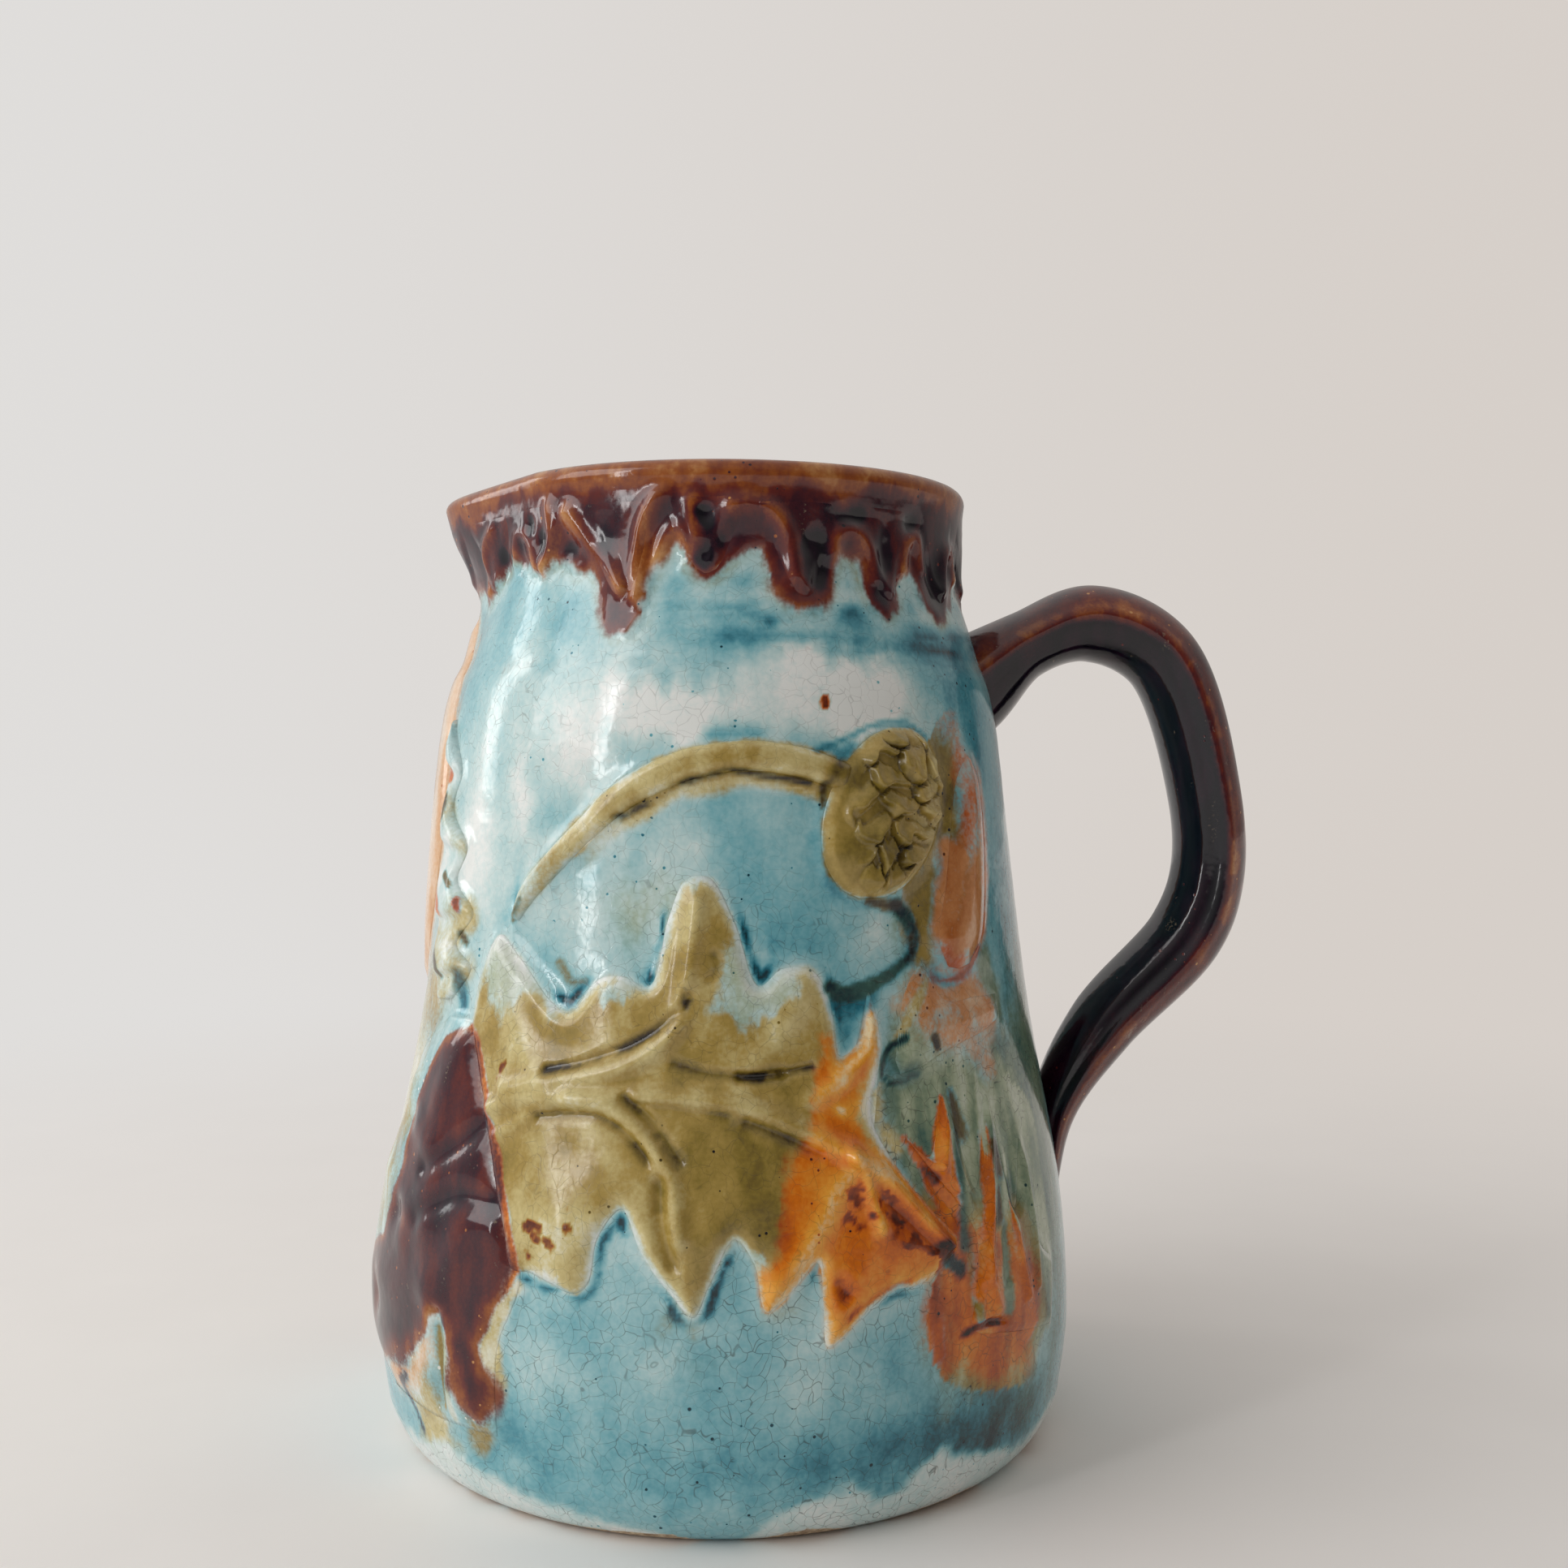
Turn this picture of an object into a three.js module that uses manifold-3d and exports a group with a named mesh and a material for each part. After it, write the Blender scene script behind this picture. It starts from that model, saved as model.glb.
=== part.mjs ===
// Glazed relief jug: a thrown body with a pulled spout, a strap handle and sprigged leaf ornament.
// Millimetres, +Z up. The origin is the middle of the base, the handle is on +X and the spout on -X.
import * as THREE from 'three';
import { mergeVertices } from 'three/addons/utils/BufferGeometryUtils.js';
import Module from 'manifold-3d';

// Body
const JUG_HEIGHT = 170;
const FOOT_RADIUS = 55;
const FOOT_ROUND_HEIGHT = 8;
const FOOT_ROUND_RADIUS = 62;
const FOOT_CORNER_RATIO = 0.6;
const BELLY_RADIUS = 63.6;
const BELLY_HEIGHT = 22;
const FLANK_RADIUS = 61.8;
const FLANK_HEIGHT = 45;
const SIDE_RADIUS = 55.2;
const SIDE_HEIGHT = 80;
const SHOULDER_RADIUS = 50.2;
const SHOULDER_DROP = 43;
const THROAT_RADIUS = 46.4;
const THROAT_DROP = 30;
const NECK_RADIUS = 42.3;
const NECK_DROP = 16;
const RIM_RADIUS = 43.8;
const WALL = 4.6;
const BASE_THICKNESS = 7;
const INNER_CORNER = 9;

// Spout, drawn out of the rim as two flat cheeks that meet in a rounded edge
const SPOUT_SPREAD_TURN = 40;
const SPOUT_EDGE_TURN = 7;
const SPOUT_START_DROP = 46;
const SPOUT_FULL_DROP = 4;
const SPOUT_DIP = 1.6;
const SPOUT_DIP_DEPTH = 12;

// Handle, as a path measured outwards from the wall and upwards from the middle of its upper root
const HANDLE_WIDTH = 19;
const HANDLE_ROOT_WIDTH = 22;
const HANDLE_ROOT_THICKNESS = 19;
const HANDLE_ROOT_DEPTH = 3.5;
const HANDLE_COLLAR_GAP = 2.4;
const HANDLE_TAIL_WIDTH = 11;
const HANDLE_TAIL_THICKNESS = 4.6;
const HANDLE_TAIL_HEIGHT = 40;
const HANDLE_RIDGE = 1.2;
const HANDLE_NECK = { out: 8, rise: 6.6, thickness: 12.8 };
const HANDLE_CREST = { out: 20.4, rise: 10.6, thickness: 14.4 };
const HANDLE_SHOULDER = { out: 33.6, rise: 4.2, thickness: 14.2 };
const HANDLE_BACK = { out: 42.2, rise: -21.6, thickness: 13.2 };
const HANDLE_GRIP = { out: 42.8, rise: -37, thickness: 13.4 };
const HANDLE_ELBOW = { out: 38.8, rise: -48, thickness: 13.8 };
const HANDLE_RETURN = { out: 23, rise: -65, thickness: 12.4 };

// Sprigs
const SLIP_GAP = 0.3;
const SPRIG_ROOT = 2;
const RIM_LEAF_COUNT = 17;
const RIM_LEAF_GAP_TURN = 4.4;
const RIM_LEAF_TOP_DROP = 5.5;
const RIM_LEAF_OUTLINE = [[0, 0.9], [0.24, 1], [0.5, 0.62], [0.78, 0.3], [1, 0.06]];
const COLLAR_DEPTH = 22;
const ORNAMENT_CLEARANCE = 1;

// Reliefs of the sprigs: thickness at the edge, extra height along the middle, side ribs
const LEAF_CAMBER = 0.7;
const LEAF_RELIEF = { edge: 1.3, crown: 1.1, rib: 0.7 };
const SIDE_LEAF_RELIEF = { edge: 1.2, crown: 1.0, rib: 0.9 };
const SPOUT_LEAF_RELIEF = { edge: 1.3, crown: 1.4, rib: 0.8 };
const FROND_RELIEF = { edge: 1.0, crown: 1.6, rib: 0.6 };
const STEM_RELIEF = { edge: 0.7, crown: 1.5 };
const POD_RELIEF = { edge: 0.6, crown: 2.4 };
const SPOUT_POD_RELIEF = { edge: 0.6, crown: 2.6 };
const HUSK_RELIEF = { edge: 0.8, crown: 1.2 };
const RIM_LEAF_RELIEF = { edge: 0.6, crown: 1.9 };
const END_BLUNTNESS = 0.3;
const BUD_EDGE = 1.2;
const BUD_CROWN = 2.8;
const BUD_SCALE_RELIEF = 1.1;
const BUD_SCALE_ROWS = 6;
const BUD_SCALES_ACROSS = 5;
const BUD_BLUNTNESS = 0.98;

// Sprig outlines. A turn is in degrees from the front (-Y) towards the handle, a height in millimetres.
// Each station is [edge, middle, edge], and stations alternate between notches and lobe tips.
const LEAF = [
  [[-37, 55], [-42, 68.5], [-45.4, 85]],
  [[-29.8, 39.5], [-35, 67], [-43.4, 93]],
  [[-26.5, 41.2], [-27, 70.5], [-26, 81.5]],
  [[-19.1, 38], [-20, 72.5], [-18, 87.4]],
  [[-14.8, 52], [-14, 73.4], [-13.4, 86.3]],
  [[-4.3, 36.5], [-7, 73.4], [-4.7, 104.4]],
  [[1.1, 48.2], [1, 72.3], [5.2, 86.8]],
  [[5.4, 38.6], [7, 70], [11.4, 89.6]],
  [[12.2, 45.6], [13, 66.8], [18.5, 74]],
  [[13.2, 32], [17.5, 63.4], [24, 82.6]],
  [[24, 38], [23.5, 58.4], [25.3, 66]],
  [[28.5, 38.8], [29.6, 51], [30.6, 56.6]],
  [[36, 42], [36.8, 43.6], [36.8, 45.6]],
];
const SIDE_LEAF = [
  [[29.8, 60.4], [29.3, 61.2], [28.8, 62]],
  [[34.2, 54.6], [33.6, 56.4], [33, 58.2]],
  [[36.8, 51.4], [37.2, 58], [37.3, 67.4]],
  [[40.4, 44.8], [40.9, 48.2], [41.5, 52]],
  [[39.2, 36], [45, 46], [47.5, 66]],
  [[38.2, 30.6], [47, 40], [50.5, 47]],
  [[46, 28], [52, 38], [55.5, 57.4]],
  [[52, 26.6], [55, 34], [57.5, 40]],
  [[60.4, 25], [61.4, 30.4], [62, 36]],
];
const SPOUT_LEAF = [
  [[-56, 77], [-52, 77.8], [-48, 77.4]],
  [[-74, 69], [-56, 70], [-46.8, 74.6]],
  [[-64, 60.6], [-53, 62], [-44, 66.4]],
  [[-81, 51], [-52, 53.4], [-41, 59.4]],
  [[-67, 43.6], [-51, 45], [-37.4, 51]],
  [[-83, 32], [-50, 37.4], [-32.8, 40.6]],
  [[-67, 24.6], [-48, 32], [-32.2, 33]],
  [[-60, 14.6], [-44.6, 29.6], [-35.6, 19.6]],
];
const FROND = [
  [[-71, 128], [-70.4, 127], [-69.8, 126]],
  [[-70, 121], [-67, 120], [-62.5, 118.6]],
  [[-69.2, 113.6], [-67.4, 113.4], [-65.4, 113]],
  [[-69, 107], [-63.6, 106.6], [-56, 106]],
  [[-68, 100.6], [-63.6, 100.6], [-59, 100.6]],
  [[-67, 94], [-60.4, 94.6], [-51.4, 95.4]],
  [[-65.6, 89], [-61.2, 89.6], [-56.6, 90]],
  [[-64, 84], [-58.4, 85], [-50.6, 86.4]],
  [[-61.6, 80.4], [-58.6, 80.6], [-55.6, 81]],
];
const HUSK = [
  [[29.2, 71.4], [28.8, 72.4], [28.4, 73.6]],
  [[34, 72.2], [32.6, 78], [31.4, 84.4]],
  [[38, 73.6], [36.6, 80], [35, 88]],
  [[44, 75], [42, 79], [40, 82.2]],
  [[50, 76], [49.4, 79], [48.8, 81.8]],
  [[55.6, 77.6], [55.6, 79.6], [55.6, 81.6]],
];
const POD = [
  [[41.4, 84.4], [44.6, 83.8], [47.8, 84.4]],
  [[38.8, 92], [45.6, 92], [53, 91.6]],
  [[44.6, 105], [50.4, 105], [57, 104.6]],
  [[47.4, 115], [52.4, 115], [58, 114.6]],
  [[51, 121.4], [52.6, 122], [54.2, 121.4]],
];
const SPOUT_POD = [
  [[-94, 80.6], [-90, 80], [-86, 80.6]],
  [[-102, 90], [-90, 90], [-78, 90]],
  [[-107, 104], [-90, 104], [-73, 104]],
  [[-106, 121], [-90, 121], [-74, 121]],
  [[-101, 136], [-90, 136], [-79, 136]],
  [[-94, 146.4], [-90, 147], [-86, 146.4]],
];
const STEM_PATH = [
  [-39.4, 97.4],
  [-36.6, 101],
  [-28.9, 108.5],
  [-21.2, 114.1],
  [-7, 120],
  [4, 122],
  [16.6, 120.2],
];
const STEM_HALF_WIDTH = 2.3;
const BUD_CENTRE = [30.8, 113];
const BUD_HALF_TURN = 12.6;
const BUD_HALF_HEIGHT = 13.8;
const BUD_LEAN_TURN = 2.4;

// Glazes
const TREACLE = { color: 0x4a1f17, roughness: 0.16 };
const TURQUOISE = { color: 0x84b8bd, roughness: 0.14 };
const OLIVE = { color: 0x97894a, roughness: 0.18 };
const RUST = { color: 0xbd6a24, roughness: 0.18 };
const PEACH = { color: 0xd09a78, roughness: 0.16 };
const SAGE = { color: 0x8a9878, roughness: 0.18 };

// Mesh resolution
const LATHE_SEGMENTS = 52;
const LIP_STEPS = 4;
const FOOT_STEPS = 3;
const PROFILE_ROW = 9;
const HANDLE_RINGS = 32;
const HANDLE_SIDES = 14;

const wasm = await Module();
wasm.setup();

const radians = THREE.MathUtils.degToRad;
const smoothstep = THREE.MathUtils.smoothstep;
const collarFoot = JUG_HEIGHT - COLLAR_DEPTH;

// Outer profile of the wall from the edge of the base to the start of the lip, as [radius, height] points
const wallSpline = new THREE.SplineCurve([
  new THREE.Vector2(FOOT_ROUND_RADIUS, FOOT_ROUND_HEIGHT),
  new THREE.Vector2(BELLY_RADIUS, BELLY_HEIGHT),
  new THREE.Vector2(FLANK_RADIUS, FLANK_HEIGHT),
  new THREE.Vector2(SIDE_RADIUS, SIDE_HEIGHT),
  new THREE.Vector2(SHOULDER_RADIUS, JUG_HEIGHT - SHOULDER_DROP),
  new THREE.Vector2(THROAT_RADIUS, JUG_HEIGHT - THROAT_DROP),
  new THREE.Vector2(NECK_RADIUS, JUG_HEIGHT - NECK_DROP),
  new THREE.Vector2(RIM_RADIUS, JUG_HEIGHT - WALL / 2),
]);

function footCurve() {
  const start = new THREE.Vector2(FOOT_RADIUS, 0);
  const corner = new THREE.Vector2(THREE.MathUtils.lerp(FOOT_RADIUS, FOOT_ROUND_RADIUS, FOOT_CORNER_RATIO), 0);
  const end = new THREE.Vector2(FOOT_ROUND_RADIUS, FOOT_ROUND_HEIGHT);
  return new THREE.QuadraticBezierCurve(start, corner, end);
}

function outerProfile() {
  const rows = Math.round(JUG_HEIGHT / PROFILE_ROW);
  const foot = footCurve().getPoints(FOOT_STEPS);
  return [...foot, ...wallSpline.getPoints(rows).slice(1)];
}

const outer = outerProfile();

// Radius of the outer wall of revolution at a height, read along the straight rows of the profile
function profileRadius(height) {
  const last = outer.length - 1;
  let row = 1;
  while (row < last && outer[row].y < height) row += 1;
  const below = outer[row - 1];
  const above = outer[row];
  return below.x + ((above.x - below.x) * (height - below.y)) / (above.y - below.y);
}

// Angle from the spout's middle, with the sharp edge rounded
function spoutTurn(turn) {
  const offset = THREE.MathUtils.euclideanModulo(turn + 90 + 180, 360) - 180;
  return Math.hypot(offset, SPOUT_EDGE_TURN);
}

// Factor by which the spout draws the wall out: each cheek is tangent to the round wall
function spoutStretch(turn, height) {
  const start = JUG_HEIGHT - SPOUT_START_DROP;
  const spread = SPOUT_SPREAD_TURN * smoothstep(height, start, JUG_HEIGHT - SPOUT_FULL_DROP);
  const cheek = Math.max(0, spread - spoutTurn(turn));
  return 1 / Math.cos(radians(cheek));
}

function spoutDip(turn, height) {
  const near = Math.max(0, 1 - spoutTurn(turn) / SPOUT_SPREAD_TURN);
  return SPOUT_DIP * near * smoothstep(height, JUG_HEIGHT - SPOUT_DIP_DEPTH, JUG_HEIGHT);
}

// Point on the wall at a turn and a height, lifted off the surface
function onWall(turn, height, lift) {
  const radius = profileRadius(height) * spoutStretch(turn, height) + lift;
  const angle = radians(turn);
  const z = height - spoutDip(turn, height);
  return new THREE.Vector3(radius * Math.sin(angle), -radius * Math.cos(angle), z);
}

// Turn a lathed shape upright and draw the spout out of it
function drawSpout(geometry) {
  geometry.rotateX(Math.PI / 2);
  const position = geometry.attributes.position;
  for (let i = 0; i < position.count; i += 1) {
    const x = position.getX(i);
    const y = position.getY(i);
    const z = position.getZ(i);
    const turn = THREE.MathUtils.radToDeg(Math.atan2(x, -y));
    const stretch = spoutStretch(turn, z);
    position.setXYZ(i, x * stretch, y * stretch, z - spoutDip(turn, z));
  }
  return weld(geometry);
}

function weld(geometry) {
  geometry.deleteAttribute('normal');
  geometry.deleteAttribute('uv');
  return mergeVertices(geometry, 1e-4);
}

function jugBody() {
  const lipRadius = WALL / 2;
  const rimInner = RIM_RADIUS - WALL;
  const points = [new THREE.Vector2(0, 0), ...outer];
  for (let step = 1; step < LIP_STEPS; step += 1) {
    const angle = (Math.PI * step) / LIP_STEPS;
    const x = RIM_RADIUS - lipRadius + lipRadius * Math.cos(angle);
    points.push(new THREE.Vector2(x, JUG_HEIGHT - lipRadius + lipRadius * Math.sin(angle)));
  }
  points.push(new THREE.Vector2(rimInner, JUG_HEIGHT - lipRadius));
  const inside = wallSpline.getPoints(Math.round(JUG_HEIGHT / PROFILE_ROW / 2)).reverse().slice(1);
  const cornerTop = BASE_THICKNESS + INNER_CORNER;
  for (const point of inside) {
    if (point.y > cornerTop) points.push(new THREE.Vector2(point.x - WALL, point.y));
  }
  const cornerRadius = profileRadius(cornerTop) - WALL;
  points.push(new THREE.Vector2(cornerRadius, cornerTop));
  const cornerCut = INNER_CORNER * (1 - Math.SQRT1_2);
  points.push(new THREE.Vector2(cornerRadius - cornerCut, BASE_THICKNESS + cornerCut));
  points.push(new THREE.Vector2(cornerRadius - INNER_CORNER, BASE_THICKNESS));
  points.push(new THREE.Vector2(0, BASE_THICKNESS));
  return drawSpout(new THREE.LatheGeometry(points, LATHE_SEGMENTS));
}

// The jug's outside as a filled solid, grown by the slip gap, which seats the handle
function jugEnvelope() {
  const grown = outer.map((point) => new THREE.Vector2(point.x + SLIP_GAP, point.y));
  const top = grown[grown.length - 1];
  const points = [new THREE.Vector2(0, 0), ...grown, new THREE.Vector2(0, top.y)];
  return drawSpout(new THREE.LatheGeometry(points, LATHE_SEGMENTS));
}

// A piece with everything inside the jug's outside cut away, so that it seats on the wall
function seated(geometry) {
  return toGeometry(toSolid(geometry).subtract(toSolid(jugEnvelope())));
}

function toSolid(geometry) {
  const mesh = new wasm.Mesh({
    numProp: 3,
    vertProperties: new Float32Array(geometry.attributes.position.array),
    triVerts: new Uint32Array(geometry.index.array),
  });
  return new wasm.Manifold(mesh);
}

function toGeometry(solid) {
  const mesh = solid.getMesh();
  const geometry = new THREE.BufferGeometry();
  geometry.setAttribute('position', new THREE.BufferAttribute(new Float32Array(mesh.vertProperties), 3));
  geometry.setIndex(new THREE.BufferAttribute(new Uint32Array(mesh.triVerts), 1));
  return geometry;
}

function signedVolume(positions, index) {
  const a = new THREE.Vector3();
  const b = new THREE.Vector3();
  const c = new THREE.Vector3();
  let volume = 0;
  for (let i = 0; i < index.length; i += 3) {
    a.fromArray(positions, index[i] * 3);
    b.fromArray(positions, index[i + 1] * 3);
    c.fromArray(positions, index[i + 2] * 3);
    volume += a.dot(b.cross(c)) / 6;
  }
  return volume;
}

// A closed geometry with its faces pointing out
function closedGeometry(vertices, index) {
  const positions = vertices.flatMap((vertex) => vertex.toArray());
  if (signedVolume(positions, index) < 0) index.reverse();
  const geometry = new THREE.BufferGeometry();
  geometry.setAttribute('position', new THREE.Float32BufferAttribute(positions, 3));
  geometry.setIndex(index);
  return geometry;
}

// Skin a row of rings with equal point counts, and close both ends with fans
function loft(rings) {
  const sides = rings[0].length;
  const vertices = rings.flat();
  const index = [];
  for (let ring = 0; ring + 1 < rings.length; ring += 1) {
    for (let side = 0; side < sides; side += 1) {
      const next = (side + 1) % sides;
      const a = ring * sides + side;
      const b = ring * sides + next;
      index.push(a, b, a + sides, b, b + sides, a + sides);
    }
  }
  const lastRing = (rings.length - 1) * sides;
  for (let side = 1; side + 1 < sides; side += 1) {
    index.push(0, side + 1, side);
    index.push(lastRing, lastRing + side, lastRing + side + 1);
  }
  return closedGeometry(vertices, index);
}

function handleRootHeight() {
  return collarFoot - HANDLE_COLLAR_GAP - HANDLE_ROOT_THICKNESS / 2;
}

// Stations of the handle from its root inside the wall to the tail, as place, width and thickness
function handleStations() {
  const rootHeight = handleRootHeight();
  const wall = profileRadius(rootHeight);
  const upper = [HANDLE_NECK, HANDLE_CREST, HANDLE_SHOULDER, HANDLE_BACK];
  const lower = [HANDLE_GRIP, HANDLE_ELBOW, HANDLE_RETURN];
  const station = (x, z, width, thickness) => ({ place: new THREE.Vector3(x, 0, z), width, thickness });
  const onLoop = (point) => station(wall + point.out, rootHeight + point.rise, HANDLE_WIDTH, point.thickness);
  const rootX = wall - HANDLE_ROOT_DEPTH;
  const rootZ = rootHeight - HANDLE_ROOT_DEPTH / 2;
  const heelZ = (rootHeight + HANDLE_RETURN.rise + HANDLE_TAIL_HEIGHT) / 2;
  const heelThickness = (HANDLE_RETURN.thickness + HANDLE_TAIL_THICKNESS) / 2;
  const heelX = profileRadius(heelZ) + heelThickness / 4;
  const tailX = profileRadius(HANDLE_TAIL_HEIGHT) - HANDLE_TAIL_THICKNESS / 2;
  return [
    station(rootX, rootZ, HANDLE_ROOT_WIDTH, HANDLE_ROOT_THICKNESS),
    ...[...upper, ...lower].map(onLoop),
    station(heelX, heelZ, (HANDLE_WIDTH + HANDLE_TAIL_WIDTH) / 2, heelThickness),
    station(tailX, HANDLE_TAIL_HEIGHT, HANDLE_TAIL_WIDTH, HANDLE_TAIL_THICKNESS),
  ];
}

// Handle section: an oval with a soft ridge along each side
function handleRing(path, sizes, t) {
  const centre = path.getPoint(t);
  const size = sizes.getPoint(t);
  const across = new THREE.Vector3(0, 1, 0);
  const outward = new THREE.Vector3().crossVectors(across, path.getTangent(t)).normalize();
  const ring = [];
  for (let side = 0; side < HANDLE_SIDES; side += 1) {
    const angle = (2 * Math.PI * side) / HANDLE_SIDES;
    const y = (size.x / 2) * Math.sin(angle);
    const flatness = Math.sign(Math.cos(angle)) * Math.abs(Math.cos(angle)) ** HANDLE_RIDGE;
    ring.push(centre.clone().addScaledVector(across, y).addScaledVector(outward, (size.y / 2) * flatness));
  }
  return ring;
}

function handle() {
  const stations = handleStations();
  const path = new THREE.CatmullRomCurve3(stations.map(({ place }) => place));
  const spans = stations.map(({ width, thickness }) => new THREE.Vector2(width, thickness));
  const sizes = new THREE.SplineCurve(spans);
  const rings = [];
  for (let ring = 0; ring <= HANDLE_RINGS; ring += 1) {
    rings.push(handleRing(path, sizes, ring / HANDLE_RINGS));
  }
  return seated(loft(rings));
}

// The ornament is drawn up to the top of the spout pod and stretched to end just under the rim leaves
const drawnTop = Math.max(...SPOUT_POD.flat().map((point) => point[1]));
const ornamentStretch = (collarFoot - ORNAMENT_CLEARANCE) / drawnTop;

function stationCurve(stations, line) {
  return new THREE.CatmullRomCurve3(stations.map((station) => new THREE.Vector3(...station[line], 0)));
}

// A sprig: a slab between two edge curves, rooted in the wall, raised along its middle curve and seated.
// height(along, across) is its thickness, with along counted in stations and across from -1 to 1.
function sprig(stations, { perStation, halfRows, height, stretch = ornamentStretch }) {
  const [left, middle, right] = [0, 1, 2].map((line) => stationCurve(stations, line));
  const columns = (stations.length - 1) * perStation;
  const rows = 2 * halfRows;
  const tops = [];
  const beds = [];
  for (let column = 0; column <= columns; column += 1) {
    const t = column / columns;
    const centre = middle.getPoint(t);
    for (let row = 0; row <= rows; row += 1) {
      const across = row / halfRows - 1;
      const edge = across < 0 ? left.getPoint(t) : right.getPoint(t);
      const point = centre.clone().lerp(edge, Math.abs(across));
      const z = point.y * stretch;
      tops.push(onWall(point.x, z, SLIP_GAP + height(t * (stations.length - 1), across)));
      beds.push(onWall(point.x, z, -SPRIG_ROOT));
    }
  }
  const bed = tops.length;
  const at = (column, row) => column * (rows + 1) + row;
  const index = [];
  const quad = (a, b, c, d) => index.push(a, b, c, a, c, d);
  for (let column = 0; column < columns; column += 1) {
    for (let row = 0; row < rows; row += 1) {
      const corners = [at(column, row), at(column + 1, row), at(column + 1, row + 1), at(column, row + 1)];
      quad(...corners);
      quad(...corners.map((corner) => corner + bed).reverse());
    }
    const [a, b] = [at(column, 0), at(column + 1, 0)];
    quad(a, a + bed, b + bed, b);
    const [c, d] = [at(column, rows), at(column + 1, rows)];
    quad(c, d, d + bed, c + bed);
  }
  for (let row = 0; row < rows; row += 1) {
    const [a, b] = [at(0, row), at(0, row + 1)];
    quad(a, b, b + bed, a + bed);
    const [c, d] = [at(columns, row), at(columns, row + 1)];
    quad(c, c + bed, d + bed, d);
  }
  return seated(closedGeometry([...tops, ...beds], index));
}

// Leaf relief: raised towards the midrib, with a rib out to each lobe tip and a hollow towards each notch
function leafHeight({ edge, crown, rib }) {
  return (along, across) => {
    const reach = 1 - Math.abs(across);
    const lobe = (1 - Math.cos(Math.PI * along)) / 2;
    return edge + crown * reach ** LEAF_CAMBER + rib * lobe * (4 * reach * (1 - reach));
  };
}

// Swell along a sprig that runs out to its two ends, from the first station to the last
function endSwell(along, last) {
  return Math.sqrt(Math.sin((Math.PI * (along + END_BLUNTNESS)) / (last + 2 * END_BLUNTNESS)));
}

// Smooth rounded relief across the sprig, even along it
function roundHeight({ edge, crown }) {
  return (along, across) => edge + crown * Math.sqrt(Math.max(0, 1 - across * across));
}

// Rounded relief that also runs out at the ends of the sprig
function podHeight({ edge, crown }, stations) {
  const round = roundHeight({ edge: 0, crown });
  return (along, across) => edge + round(along, across) * endSwell(along, stations.length - 1);
}

function stemStations() {
  const path = new THREE.CatmullRomCurve3(STEM_PATH.map((point) => new THREE.Vector3(...point, 0)));
  return STEM_PATH.map((point, i) => {
    const tangent = path.getTangent(i / (STEM_PATH.length - 1));
    const perDegree = radians(profileRadius(point[1]));
    const run = Math.hypot(tangent.x * perDegree, tangent.y);
    const turn = ((-tangent.y / run) * STEM_HALF_WIDTH) / perDegree;
    const rise = ((tangent.x * perDegree) / run) * STEM_HALF_WIDTH;
    return [[point[0] - turn, point[1] - rise], point, [point[0] + turn, point[1] + rise]];
  });
}

// Egg-shaped bud whose upper end leans towards the handle
function budStations() {
  const stations = [];
  for (let row = 0; row <= BUD_SCALE_ROWS; row += 1) {
    const up = BUD_BLUNTNESS * Math.sin(Math.PI * (row / BUD_SCALE_ROWS - 0.5));
    const half = BUD_HALF_TURN * Math.sqrt(1 - up * up);
    const middle = BUD_CENTRE[0] + BUD_LEAN_TURN * up;
    const z = BUD_CENTRE[1] + BUD_HALF_HEIGHT * up;
    stations.push([[middle - half, z], [middle, z], [middle + half, z]]);
  }
  return stations;
}

// Rows of overlapping scales, each row shifted by half a scale
function budHeight(row, across) {
  const shift = Math.floor(row) % 2 === 0 ? 0 : 0.5;
  const scale = Math.abs(Math.sin(Math.PI * (((across + 1) / 2) * BUD_SCALES_ACROSS + shift)));
  const lap = 1 - (row - Math.floor(row));
  const dome = Math.sqrt(Math.max(0, 1 - across * across));
  const swell = endSwell(row, BUD_SCALE_ROWS);
  return BUD_EDGE + BUD_CROWN * dome * swell + BUD_SCALE_RELIEF * scale * lap * dome;
}

// Hanging leaf tip under the lip, pointed at the bottom
function rimLeafStations(turn) {
  const half = (360 / RIM_LEAF_COUNT - RIM_LEAF_GAP_TURN) / 2;
  const top = JUG_HEIGHT - RIM_LEAF_TOP_DROP;
  const length = top - collarFoot;
  return RIM_LEAF_OUTLINE.map(([down, wide]) => {
    const z = top - length * down;
    return [[turn - half * wide, z], [turn, z], [turn + half * wide, z]];
  });
}

function mirrored(geometry) {
  const copy = geometry.clone();
  copy.scale(1, -1, 1);
  copy.index.array.reverse();
  return copy;
}

const jug = new THREE.Group();

function add(name, geometry, glaze) {
  const mesh = new THREE.Mesh(geometry, new THREE.MeshStandardMaterial({ metalness: 0, ...glaze }));
  mesh.name = name;
  jug.add(mesh);
}

function addPair(name, geometry, glaze) {
  add(`front_${name}`, geometry, glaze);
  add(`rear_${name}`, mirrored(geometry), glaze);
}

add('jug_body', jugBody(), TURQUOISE);
add('handle', handle(), TREACLE);

for (let i = 0; i < RIM_LEAF_COUNT; i += 1) {
  const stations = rimLeafStations(-90 + (360 / RIM_LEAF_COUNT) * i);
  const shape = { perStation: 1, halfRows: 2, height: podHeight(RIM_LEAF_RELIEF, stations), stretch: 1 };
  add(`rim_leaf_${String(i + 1).padStart(2, '0')}`, sprig(stations, shape), TREACLE);
}

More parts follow.
